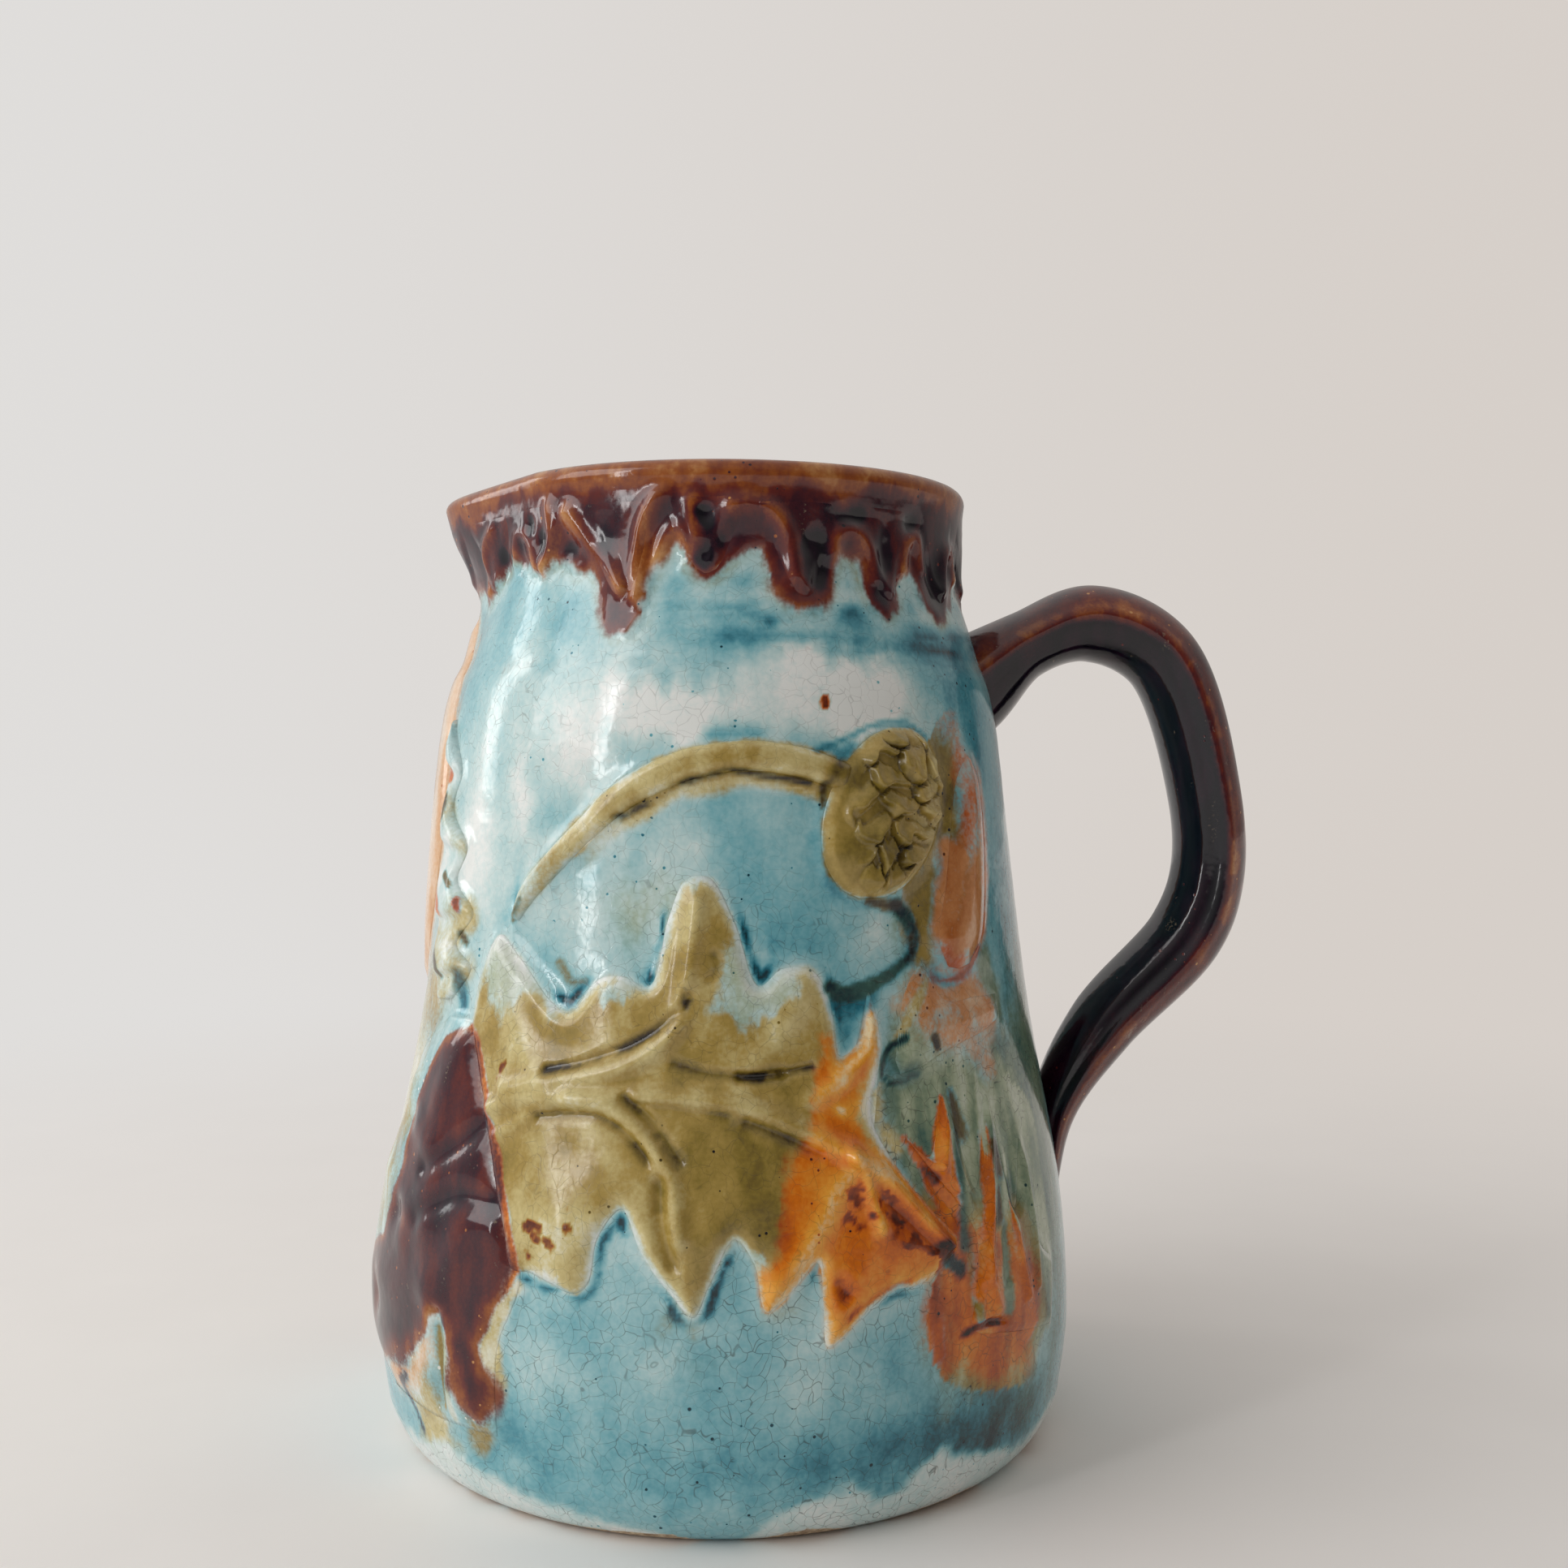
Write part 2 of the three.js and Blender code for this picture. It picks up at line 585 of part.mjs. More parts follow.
const leaf = { perStation: 3, halfRows: 2, height: leafHeight(LEAF_RELIEF) };
const sideLeaf = { perStation: 3, halfRows: 2, height: leafHeight(SIDE_LEAF_RELIEF) };
const spoutLeaf = { perStation: 2, halfRows: 4, height: leafHeight(SPOUT_LEAF_RELIEF) };
const frond = { perStation: 2, halfRows: 1, height: leafHeight(FROND_RELIEF) };
const stem = { perStation: 2, halfRows: 1, height: roundHeight(STEM_RELIEF) };
const bud = { perStation: 2, halfRows: BUD_SCALES_ACROSS, height: budHeight };
const pod = { perStation: 2, halfRows: 2, height: podHeight(POD_RELIEF, POD) };
const husk = { perStation: 2, halfRows: 2, height: podHeight(HUSK_RELIEF, HUSK) };
const spoutPod = { perStation: 2, halfRows: 3, height: podHeight(SPOUT_POD_RELIEF, SPOUT_POD) };

addPair('leaf', sprig(LEAF, leaf), OLIVE);
addPair('side_leaf', sprig(SIDE_LEAF, sideLeaf), RUST);
addPair('spout_leaf', sprig(SPOUT_LEAF, spoutLeaf), TREACLE);
addPair('frond', sprig(FROND, frond), OLIVE);
addPair('stem', sprig(stemStations(), stem), OLIVE);
addPair('bud', sprig(budStations(), bud), OLIVE);
addPair('pod', sprig(POD, pod), PEACH);
addPair('husk', sprig(HUSK, husk), SAGE);
add('spout_pod', sprig(SPOUT_POD, spoutPod), PEACH);

export default jug;
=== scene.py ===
"""Glazed relief jug: fine clay meshes, brushed glazes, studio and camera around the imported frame."""
from __future__ import annotations

import logging
import math
from dataclasses import dataclass, field
from enum import Enum
from typing import Iterable, Sequence

import bpy
import numpy as np
from mathutils import Matrix, Vector
from mathutils.kdtree import KDTree


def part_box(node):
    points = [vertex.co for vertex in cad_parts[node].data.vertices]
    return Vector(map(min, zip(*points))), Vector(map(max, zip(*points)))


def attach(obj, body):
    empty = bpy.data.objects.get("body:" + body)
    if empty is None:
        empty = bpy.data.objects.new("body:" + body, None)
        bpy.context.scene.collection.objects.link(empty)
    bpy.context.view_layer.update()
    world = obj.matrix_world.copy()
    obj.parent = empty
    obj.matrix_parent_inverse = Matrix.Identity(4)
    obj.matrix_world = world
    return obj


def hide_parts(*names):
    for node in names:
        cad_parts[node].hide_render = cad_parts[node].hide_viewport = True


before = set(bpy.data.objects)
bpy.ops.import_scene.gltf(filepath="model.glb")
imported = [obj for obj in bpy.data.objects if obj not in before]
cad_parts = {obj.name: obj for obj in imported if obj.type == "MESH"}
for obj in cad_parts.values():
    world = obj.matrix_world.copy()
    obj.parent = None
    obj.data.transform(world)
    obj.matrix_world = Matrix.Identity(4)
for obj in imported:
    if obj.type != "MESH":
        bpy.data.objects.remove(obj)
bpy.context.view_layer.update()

log = logging.getLogger("jug")

MM = 0.001
PHOTO_PIXELS = 1932
TUCK = 0.06
FILLET = 0.42
FILLET_WIDTH = 1.2
BRUSH_REACH = 9.0
FAR = 99.0
SPRIG_BACK = 0.9
CRAZE_WIDTH = 0.036
BUMP_STRENGTH = 0.22
BUMP_DISTANCE = 0.0004
GLAZE_IOR = 1.5
COAT_ROUGHNESS = 0.035
SENSOR_WIDTH = 36.0
FLOOR_HALF = 6.0

Pair = tuple[float, float]
Spot = tuple[float, float, float]
Station = tuple[Pair, Pair, Pair]
Array = np.ndarray
Socket = bpy.types.NodeSocket
Tree = bpy.types.NodeTree
Value = "float | tuple | Socket"


class Glaze(Enum):
    """The glazes of the jug, by the material slot that each one dresses."""

    TURQUOISE = "turquoise_glaze"
    TREACLE = "treacle_glaze"
    OLIVE = "olive_glaze"
    RUST = "rust_glaze"
    PEACH = "peach_glaze"
    SAGE = "sage_glaze"


class Side(Enum):
    """The two faces of the jug that carry the same ornament."""

    FRONT = "front"
    REAR = "rear"


def unit(value: Array) -> Array:
    """Values held between 0 and 1."""
    return np.clip(value, 0.0, 1.0)


def rise(low: float | Array, high: float | Array, value: Array) -> Array:
    """Smooth step of values from 0 at low to 1 at high; low may be above high."""
    share = unit((value - low) / (high - low))
    return share * share * (3.0 - 2.0 * share)


def fade(distance: Array, width: float) -> Array:
    """Bell that is 1 at no distance and dies away beyond the width."""
    return np.exp(-((distance / width) ** 2))


def fold_turn(turn: Array) -> Array:
    """Turn of the same place on the front, for a turn anywhere round the jug."""
    wrapped = (turn + 180.0) % 360.0 - 180.0
    return np.where(np.abs(wrapped) > 90.0, np.sign(wrapped) * 180.0 - wrapped, wrapped)


def around(radius: Array, turn: Array, height: Array) -> Array:
    """Points at a radius, a turn in degrees and a height."""
    angle = np.radians(turn)
    return np.stack([radius * np.sin(angle), -radius * np.cos(angle), height], axis=-1)


def hermite(ends: Sequence[Array], weight: Array) -> Array:
    """Cubic between two points with given tangents.

    Args:
        ends: First point, last point, first tangent and last tangent.
        weight: Share of the way, as a column.

    Returns:
        The points at those shares.
    """
    first, last, out, into = ends
    bend = 2.0 * first - 2.0 * last + out + into
    swell = -3.0 * first + 3.0 * last - 2.0 * out - into
    return bend * weight**3 + swell * weight**2 + out * weight + first


def plain_spline(points: Sequence[Sequence[float]], shares: Array) -> Array:
    """Uniform spline through points whose ends are held.

    Args:
        points: The points in order.
        shares: Shares of the way, from 0 to 1.

    Returns:
        The points at those shares.
    """
    knots = np.array(points, dtype=float)
    padded = np.vstack([knots[:1], knots, knots[-1:]])
    place = shares * (len(knots) - 1)
    step = np.minimum(place.astype(int), len(knots) - 2)
    weight = (place - step)[:, None]
    before, first, last, after = (padded[step + i] for i in range(4))
    return hermite((first, last, (last - before) / 2.0, (after - first) / 2.0), weight)


def even_spline(points: Sequence[Sequence[float]], shares: Array) -> Array:
    """Centripetal spline through points, which never loops between close ones.

    Args:
        points: The points in order.
        shares: Shares of the way, from 0 to 1.

    Returns:
        The points at those shares.
    """
    knots = np.array(points, dtype=float)
    padded = np.vstack([2.0 * knots[:1] - knots[1:2], knots, 2.0 * knots[-1:] - knots[-2:-1]])
    place = shares * (len(knots) - 1)
    step = np.minimum(place.astype(int), len(knots) - 2)
    weight = (place - step)[:, None]
    before, first, last, after = (padded[step + i] for i in range(4))
    spans = [np.sqrt(np.linalg.norm(b - a, axis=1))[:, None] for a, b in
             ((before, first), (first, last), (last, after))]
    near, middle, far = (np.maximum(span, 1e-4) for span in spans)
    out = (first - before) / near - (last - before) / (near + middle) + (last - first) / middle
    into = (last - first) / middle - (after - first) / (middle + far) + (after - last) / far
    return hermite((first, last, out * middle, into * middle), weight)


@dataclass(frozen=True)
class ClayNoise:
    """Smooth seeded noise in space, which has no seam round the jug."""

    seed: int = 7

    def lattice(self, cell: Array, layer: int) -> Array:
        """Random value from 0 to 1 of each whole cell of a layer."""
        x, y, z = (cell[..., i].astype(np.int64) for i in range(3))
        mixed = x * 374761393 + y * 668265263 + z * 1442695041 + (self.seed + layer) * 974711
        mixed = (mixed ^ (mixed >> 13)) * 1274126177 & 0xFFFFFFFF
        return ((mixed ^ (mixed >> 16)) & 0xFFFF) / 65535.0

    def single(self, place: Array, layer: int) -> Array:
        """One octave of the noise.

        Args:
            place: Points in units of the grain.
            layer: Number of the independent layer.

        Returns:
            Values from 0 to 1.
        """
        cell = np.floor(place)
        part = place - cell
        part = part * part * (3.0 - 2.0 * part)
        total = np.zeros(place.shape[:-1])
        for corner in range(8):
            bits = np.array([corner & 1, corner >> 1 & 1, corner >> 2 & 1])
            weight = np.prod(np.where(bits == 1, part, 1.0 - part), axis=-1)
            total += weight * self.lattice(cell + bits, layer)
        return total

    def cloud(self, place: Array, grain: float, layer: int) -> Array:
        """Cloudy noise of three octaves, spread over about -1 to 1.

        Args:
            place: Points in millimetres.
            grain: Size of the largest clouds in millimetres.
            layer: Number of the independent layer.

        Returns:
            Values from about -1 to 1.
        """
        total = np.zeros(place.shape[:-1])
        for octave in range(3):
            part = self.single(place * (2.03**octave / grain), layer * 5 + octave)
            total += (part - 0.5) * 0.5**octave
        return np.clip(total * 2.2, -1.0, 1.0)


@dataclass
class Wall:
    """The thrown wall as a chart of turn and height, in millimetres and degrees."""

    height: float
    foot: float = 55.0
    foot_corner: float = 59.2
    knots: tuple[Pair, ...] = (
        (62.0, 8.0), (63.6, 22.0), (61.8, 45.0), (55.2, 80.0),
        (50.2, 127.0), (46.4, 140.0), (42.3, 154.0), (43.8, 167.7),
    )
    thickness: float = 4.6
    spout_spread: float = 40.0
    spout_edge: float = 7.0
    spout_dip: float = 1.6
    spout_reach: float = 46.0
    spout_full: float = 4.0
    dip_reach: float = 12.0
    profile: Array = field(init=False)

    def __post_init__(self) -> None:
        """Draw the outer profile from the foot to the lip."""
        share = np.linspace(0.0, 1.0, 24)[:-1, None]
        start = np.array([[self.foot, 0.0]])
        corner = np.array([[self.foot_corner, 0.0]])
        end = np.array([self.knots[0]])
        foot = start * (1 - share) ** 2 + corner * 2 * share * (1 - share) + end * share**2
        self.profile = np.vstack([foot, plain_spline(self.knots, np.linspace(0.0, 1.0, 500))])

    def radius(self, height: Array) -> Array:
        """Radius of the round wall at a height."""
        return np.interp(height, self.profile[:, 1], self.profile[:, 0])

    def spout_turn(self, turn: Array) -> Array:
        """Angle from the middle of the spout, with its sharp edge rounded."""
        return np.hypot((turn + 270.0) % 360.0 - 180.0, self.spout_edge)

    def stretch(self, turn: Array, height: Array) -> Array:
        """Factor by which the spout draws the wall out."""
        drawn = rise(self.height - self.spout_reach, self.height - self.spout_full, height)
        spread = self.spout_spread * drawn
        return 1.0 / np.cos(np.radians(np.maximum(0.0, spread - self.spout_turn(turn))))

    def dip(self, turn: Array, height: Array) -> Array:
        """Drop of the rim towards the spout."""
        near = np.maximum(0.0, 1.0 - self.spout_turn(turn) / self.spout_spread)
        return self.spout_dip * near * rise(self.height - self.dip_reach, self.height, height)

    def waver(self, turn: Array, height: Array) -> Array:
        """Unevenness that the potter's hands leave in the wall."""
        angle = np.radians(turn)
        slow = 0.2 * np.sin(3.0 * angle + height / 19.0) + 0.15 * np.sin(5.0 * angle - height / 13.0 + 0.7)
        rings = 0.015 * np.sin(height * 0.95 + 2.0 * np.sin(angle))
        held = rise(2.0, 14.0, height) * rise(self.height - 1.0, self.height - 10.0, height)
        return (slow + rings) * held

    def place(self, turn: Array, height: Array, lift: Array | float) -> Array:
        """Points on the wall.

        Args:
            turn: Degrees from the front towards the handle.
            height: Millimetres above the base.
            lift: Millimetres off the wall.

        Returns:
            Points in millimetres, with one more axis than the turn.
        """
        outer = self.radius(height) * self.stretch(turn, height) + self.waver(turn, height) + lift
        return around(outer, turn, height - self.dip(turn, height))


@dataclass(frozen=True)
class Vein:
    """A rib or a slit of the relief, along a path on the wall."""

    path: tuple[Pair, ...]
    width: float
    lift: float
    dark: float = 0.0

    def distance(self, wall: Wall, place: Array) -> Array:
        """Distance of points from the path.

        Args:
            wall: The wall that carries the path.
            place: Points on the bare wall.

        Returns:
            Distances in millimetres.
        """
        line = even_spline(self.path, np.linspace(0.0, 1.0, 14 * len(self.path)))
        points = wall.place(line[:, 0], line[:, 1], 0.0)
        nearest = np.full(place.shape[:-1], np.inf)
        for point in points:
            nearest = np.minimum(nearest, np.sum((place - point) ** 2, axis=-1))
        return np.sqrt(nearest)


@dataclass(frozen=True)
class Dab:
    """A soft dab of glaze or of clay on the wall."""

    turn: float
    height: float
    half_turn: float
    half_height: float
    amount: float

    def cover(self, turn: Array, height: Array) -> Array:
        """Amount of the dab at each place."""
        across = (turn - self.turn) / self.half_turn
        up = (height - self.height) / self.half_height
        return self.amount * np.exp(-(across**2) - up**2)


def dabbed(given: Iterable[Dab], turn: Array, height: Array) -> Array:
    """Sum of several dabs at each place."""
    return sum((dab.cover(turn, height) for dab in given), np.zeros_like(turn))


def dabs(*rows: tuple) -> tuple[Dab, ...]:
    """Dabs from rows of turn, height, half turn, half height and amount."""
    return tuple(Dab(*row) for row in rows)


def veins(*rows: tuple) -> tuple[Vein, ...]:
    """Veins from rows of path, width, lift and darkness."""
    return tuple(Vein(*row) for row in rows)


GLAZES_OVER = ("treacle", "olive", "rust", "peach", "sage")
OVERCOATS = (*GLAZES_OVER, "bare", "craze")


@dataclass
class Coats:
    """How much of each glaze lies on each point of a piece, and how thick."""

    depth: Array
    treacle: Array = field(init=False)
    olive: Array = field(init=False)
    rust: Array = field(init=False)
    peach: Array = field(init=False)
    sage: Array = field(init=False)
    bare: Array = field(init=False)
    craze: Array = field(init=False)

    def __post_init__(self) -> None:
        """Begin with no glaze over the turquoise ground."""
        for name in OVERCOATS:
            setattr(self, name, np.zeros_like(self.depth))

    def pool(self, amount: Array, depth: Array | float) -> None:
        """Bring the glaze towards a depth by an amount from 0 to 1."""
        self.depth = self.depth + (depth - self.depth) * unit(amount)

    def lay(self, name: str, amount: Array) -> None:
        """Lay one glaze at least as strongly as an amount."""
        setattr(self, name, np.maximum(getattr(self, name), amount))

    def wipe(self, amount: Array, *names: str) -> None:
        """Take an amount from 0 to 1 of some glazes away."""
        for name in names:
            setattr(self, name, getattr(self, name) * (1.0 - unit(amount)))

    def take(self, pick: Array) -> Coats:
        """The coats of some of the points."""
        part = Coats(self.depth[pick])
        for name in OVERCOATS:
            setattr(part, name, getattr(self, name)[pick])
        return part

    def put(self, pick: Array, part: Coats) -> None:
        """Give some of the points the coats of another."""
        for name in ("depth", *OVERCOATS):
            getattr(self, name)[pick] = getattr(part, name)

    def columns(self) -> tuple[Array, Array]:
        """The two colour columns that the materials read."""
        coat = np.stack([self.treacle, self.olive, self.rust, self.peach], axis=-1)
        tone = np.stack([self.depth, self.sage, self.bare, self.craze], axis=-1)
        return unit(coat).reshape(-1, 4), unit(tone).reshape(-1, 4)


@dataclass
class Spots:
    """Places on the wall that take glaze, folded onto the front, with the clouds that stir it."""

    turn: Array
    height: Array
    place: Array
    broad: Array
    middle: Array
    fine: Array
    streak: Array

    @classmethod
    def on(cls, noise: ClayNoise, turn: Array, height: Array, place: Array) -> Spots:
        """Gather places.

        Args:
            noise: Noise of the clouds.
            turn: Turns anywhere round the jug.
            height: Heights.
            place: The points themselves.

        Returns:
            The places as flat rows.
        """
        flat = place.reshape(-1, 3)
        drawn = flat * np.array([1.0, 1.0, 0.16])
        front = flat * np.where(flat[:, 1:2] > 0.0, np.array([1.0, -1.0, 1.0]), 1.0)
        clouds = (noise.cloud(flat, grain, layer) for grain, layer in ((34.0, 1), (11.0, 2), (3.6, 3)))
        return cls(fold_turn(turn.ravel()), height.ravel(), front, *clouds, noise.cloud(drawn, 2.4, 4))

    def take(self, pick: Array) -> Spots:
        """Some of the places."""
        return Spots(*(getattr(self, name)[pick] for name in self.__dataclass_fields__))


def within(line: Array, turn: Array, height: Array) -> Array:
    """Which places lie inside a closed outline.

    Args:
        line: Corners of the outline in order, as turns and heights.
        turn: Turns of the places.
        height: Heights of the places.

    Returns:
        True for each place inside.
    """
    inside = np.zeros(turn.shape, bool)
    for (t0, z0), (t1, z1) in zip(line, np.roll(line, -1, axis=0)):
        if z0 == z1:
            continue
        between = (z0 > height) != (z1 > height)
        inside ^= between & (turn < (t1 - t0) * (height - z0) / (z1 - z0) + t0)
    return inside


@dataclass(frozen=True)
class Patch:
    """A patch of glaze inside a closed outline on the wall."""

    corners: tuple[Pair, ...]

    def inside(self, wall: Wall, spots: Spots) -> Array:
        """Distance of places from the outline.

        Args:
            wall: The wall that carries the patch.
            spots: The places.

        Returns:
            Distances in millimetres, positive inside.
        """
        corners = np.array(self.corners, dtype=float)
        share = np.linspace(0.0, 1.0, 12, endpoint=False)[None, :, None]
        line = (corners[:, None] + (np.roll(corners, -1, axis=0) - corners)[:, None] * share).reshape(-1, 2)
        distance = nearest_distance(wall.place(line[:, 0], line[:, 1], 0.0), spots.place)
        return np.where(within(corners, spots.turn, spots.height), distance, -distance)


@dataclass(frozen=True)
class Stroke:
    """One stroke of the brush along a path on the wall, narrowed to its tip."""

    path: tuple[Pair, ...]
    width: float
    glaze: str
    amount: float
    depth: float
    tip: float = 1.0
    soft: float = 0.5

    def lay(self, coats: Coats, spots: Spots, wall: Wall) -> None:
        """Lay the stroke over the other glazes; one with no glaze only pools the ground.

        Args:
            coats: Coats that are changed.
            spots: The places.
            wall: The wall that carries the stroke.
        """
        turns, heights = zip(*self.path)
        spare = 5.0 * self.width
        beside = (spots.turn > min(turns) - spare) & (spots.turn < max(turns) + spare)
        level = (spots.height > min(heights) - spare) & (spots.height < max(heights) + spare)
        near = np.nonzero(beside & level)[0]
        part = coats.take(near)
        shares = np.linspace(0.0, 1.0, 12 * len(self.path))
        line = even_spline(self.path, shares)
        away = np.full(len(near), np.inf)
        for centre, share in zip(wall.place(line[:, 0], line[:, 1], 0.0), shares):
            width = self.width * (1.0 - (1.0 - self.tip) * share)
            away = np.minimum(away, np.linalg.norm(spots.place[near] - centre, axis=-1) / width)
        uneven = 0.35 * spots.fine[near] + 0.25 * spots.middle[near]
        wet = self.amount * rise(1.0 + self.soft, 1.0 - self.soft, away + uneven)
        if self.glaze:
            part.wipe(wet, *(name for name in GLAZES_OVER if name != self.glaze))
            part.lay(self.glaze, wet)
        part.pool(wet, self.depth + 0.1 * spots.fine[near])
        coats.put(near, part)


def strokes(*rows: tuple) -> tuple[Stroke, ...]:
    """Strokes from rows of path, width, glaze, amount, depth, tip and softness."""
    return tuple(Stroke(*row) for row in rows)


def grid_quads(columns: int, rows: int, wrap: bool) -> Array:
    """Quads of a grid of points stored column by column.

    Args:
        columns: Number of columns.
        rows: Number of points in a column.
        wrap: Whether the last column joins the first.

    Returns:
        Point numbers of the quads.
    """
    left = np.arange(columns if wrap else columns - 1)[:, None]
    right = (left + 1) % columns
    low = np.arange(rows - 1)[None, :]
    corners = (left * rows + low, right * rows + low, right * rows + low + 1, left * rows + low + 1)
    return np.stack([np.broadcast_to(c, (left.size, rows - 1)) for c in corners], axis=-1).reshape(-1, 4)


@dataclass
class ClayMesh:
    """A closed mesh in millimetres with its glaze columns."""

    points: Array
    quads: Array
    triangles: Array
    coat: Array
    tone: Array

    def volume(self) -> float:
        """Signed volume, positive where the faces point out."""
        halves = np.vstack([self.quads[:, [0, 1, 2]], self.quads[:, [0, 2, 3]], self.triangles])
        a, b, c = (self.points[halves[:, i]] for i in range(3))
        return float(np.sum(a * np.cross(b, c)) / 6.0)

    @classmethod
    def capped(cls, points: Array, coats: tuple[Array, Array], columns: int, poles: Array) -> ClayMesh:
        """Close rows that run round a piece with a fan at each end.

        Args:
            points: Points column by column.
            coats: Their two glaze columns.
            columns: Number of columns.
            poles: Middle of the first and of the last row.

        Returns:
            The closed mesh.
        """
        count = len(points)
        rows = count // columns
        first = np.arange(columns) * rows
        last = first + rows - 1
        under = np.stack([np.full(columns, count), np.roll(first, -1), first], axis=-1)
        over = np.stack([np.full(columns, count + 1), last, np.roll(last, -1)], axis=-1)
        coat, tone = (np.vstack([column, column[[0, rows - 1]]]) for column in coats)
        quads = grid_quads(columns, rows, True)
        return cls(np.vstack([points, poles]), quads, np.vstack([under, over]), coat, tone)

    def mirrored(self) -> ClayMesh:
        """The same mesh on the other face of the jug."""
        flipped = self.points * np.array([1.0, -1.0, 1.0])
        return ClayMesh(flipped, self.quads[:, ::-1], self.triangles[:, ::-1], self.coat, self.tone)

    def fire(self, name: str) -> bpy.types.Object:
        """Make the Blender object.

        Args:
            name: Name of the piece.

        Returns:
            The object, linked to the scene.
        """
        turned = self.volume() < 0.0
        quads = self.quads[:, ::-1] if turned else self.quads
        triangles = self.triangles[:, ::-1] if turned else self.triangles
        mesh = bpy.data.meshes.new(name)
        mesh.vertices.add(len(self.points))
        mesh.vertices.foreach_set("co", (self.points * MM).astype(np.float32).ravel())
        corners = np.concatenate([quads.ravel(), triangles.ravel()]).astype(np.int32)
        starts = np.concatenate([np.arange(len(quads)) * 4, len(quads) * 4 + np.arange(len(triangles)) * 3])
        mesh.loops.add(len(corners))
        mesh.loops.foreach_set("vertex_index", corners)
        mesh.polygons.add(len(starts))
        mesh.polygons.foreach_set("loop_start", starts.astype(np.int32))
        mesh.update(calc_edges=True)
        mesh.validate()
        mesh.shade_smooth()
        for column, values in (("coat", self.coat), ("tone", self.tone)):
            layer = mesh.color_attributes.new(column, "FLOAT_COLOR", "POINT")
            layer.data.foreach_set("color", values.astype(np.float32).ravel())
        piece = bpy.data.objects.new(name, mesh)
        bpy.context.scene.collection.objects.link(piece)
        return piece


class NodeBench:
    """Lays and wires the nodes of one tree."""

    def __init__(self, tree: Tree) -> None:
        """Keep the tree that is worked on."""
        self.tree = tree

    def wire(self, value: Value, socket: Socket) -> None:
        """Link a socket's output to another socket, or set a plain value on it."""
        if isinstance(value, Socket):
            self.tree.links.new(value, socket)
        else:
            socket.default_value = value

    def node(self, kind: str, settings: dict | None = None, **sockets: Value) -> bpy.types.Node:
        """Add a node.

        Args:
            kind: Type name of the node.
            settings: Properties of the node.
            sockets: Values or links of its inputs, with underscores for spaces.

        Returns:
            The node.
        """
        made = self.tree.nodes.new(kind)
        for name, value in (settings or {}).items():
            setattr(made, name, value)
        for name, value in sockets.items():
            self.wire(value, made.inputs[name.replace("_", " ")])
        return made

    def math(self, operation: str, first: Value, second: Value = 0.0, clamp: bool = False) -> Socket:
        """Arithmetic on two values."""
        made = self.node("ShaderNodeMath", {"operation": operation, "use_clamp": clamp})
        self.wire(first, made.inputs[0])
        self.wire(second, made.inputs[1])
        return made.outputs[0]

    def times(self, first: Value, second: Value) -> Socket:
        """Product of two values."""
        return self.math("MULTIPLY", first, second)

    def plus(self, first: Value, second: Value, clamp: bool = False) -> Socket:
        """Sum of two values."""
        return self.math("ADD", first, second, clamp)

    def vector(self, operation: str, first: Value, second: Value) -> Socket:
        """Arithmetic on two vectors."""
        made = self.node("ShaderNodeVectorMath", {"operation": operation})
        self.wire(first, made.inputs[0])
        self.wire(second, made.inputs[1])
        return made.outputs[0]

    def mix(self, amount: Value, under: Value, over: Value) -> Socket:
        """Colour that goes from under to over by an amount."""
        made = self.node("ShaderNodeMix", {"data_type": "RGBA"})
        self.wire(amount, made.inputs[0])
        self.wire(under, made.inputs[6])
        self.wire(over, made.inputs[7])
        return made.outputs[2]

    def step(self, value: Value, low: Value, high: Value) -> Socket:
        """Smooth step of a value from 0 at low to 1 at high."""
        made = self.node("ShaderNodeMapRange", {"interpolation_type": "SMOOTHSTEP"})
        self.wire(value, made.inputs["Value"])
        self.wire(low, made.inputs["From Min"])
        self.wire(high, made.inputs["From Max"])
        return made.outputs["Result"]

    def noise(self, vector: Value, scale: Value, detail: float) -> bpy.types.Node:
        """Cloudy noise at a vector."""
        return self.node("ShaderNodeTexNoise", None, Vector=vector, Scale=scale, Detail=detail)

    def cells(self, feature: str, vector: Value, scale: Value) -> bpy.types.Node:
        """Cells at a vector."""
        return self.node("ShaderNodeTexVoronoi", {"feature": feature}, Vector=vector, Scale=scale)

    def parted(self, colour: Value) -> bpy.types.NodeOutputs:
        """The parts of a colour."""
        return self.node("ShaderNodeSeparateColor", None, Color=colour).outputs

    def largest(self, *values: Value) -> Socket:
        """The largest of three values."""
        first, second, third = values
        return self.math("MAXIMUM", first, self.math("MAXIMUM", second, third))

    def clay_place(self) -> Socket:
        """Place on the piece in metres."""
        return self.node("ShaderNodeTexCoord").outputs["Object"]


def linear(code: str) -> tuple[float, float, float, float]:
    """Linear colour of a six-digit sRGB code."""
    parts = [int(code[i:i + 2], 16) / 255.0 for i in (0, 2, 4)]
    straight = [p / 12.92 if p <= 0.04045 else ((p + 0.055) / 1.055) ** 2.4 for p in parts]
    return (straight[0], straight[1], straight[2], 1.0)


@dataclass(frozen=True)
class GlazeRamp:
    """Colours of one glaze from a thin to a thick coat."""

    glaze: Glaze
    stops: tuple[tuple[float, str], ...]


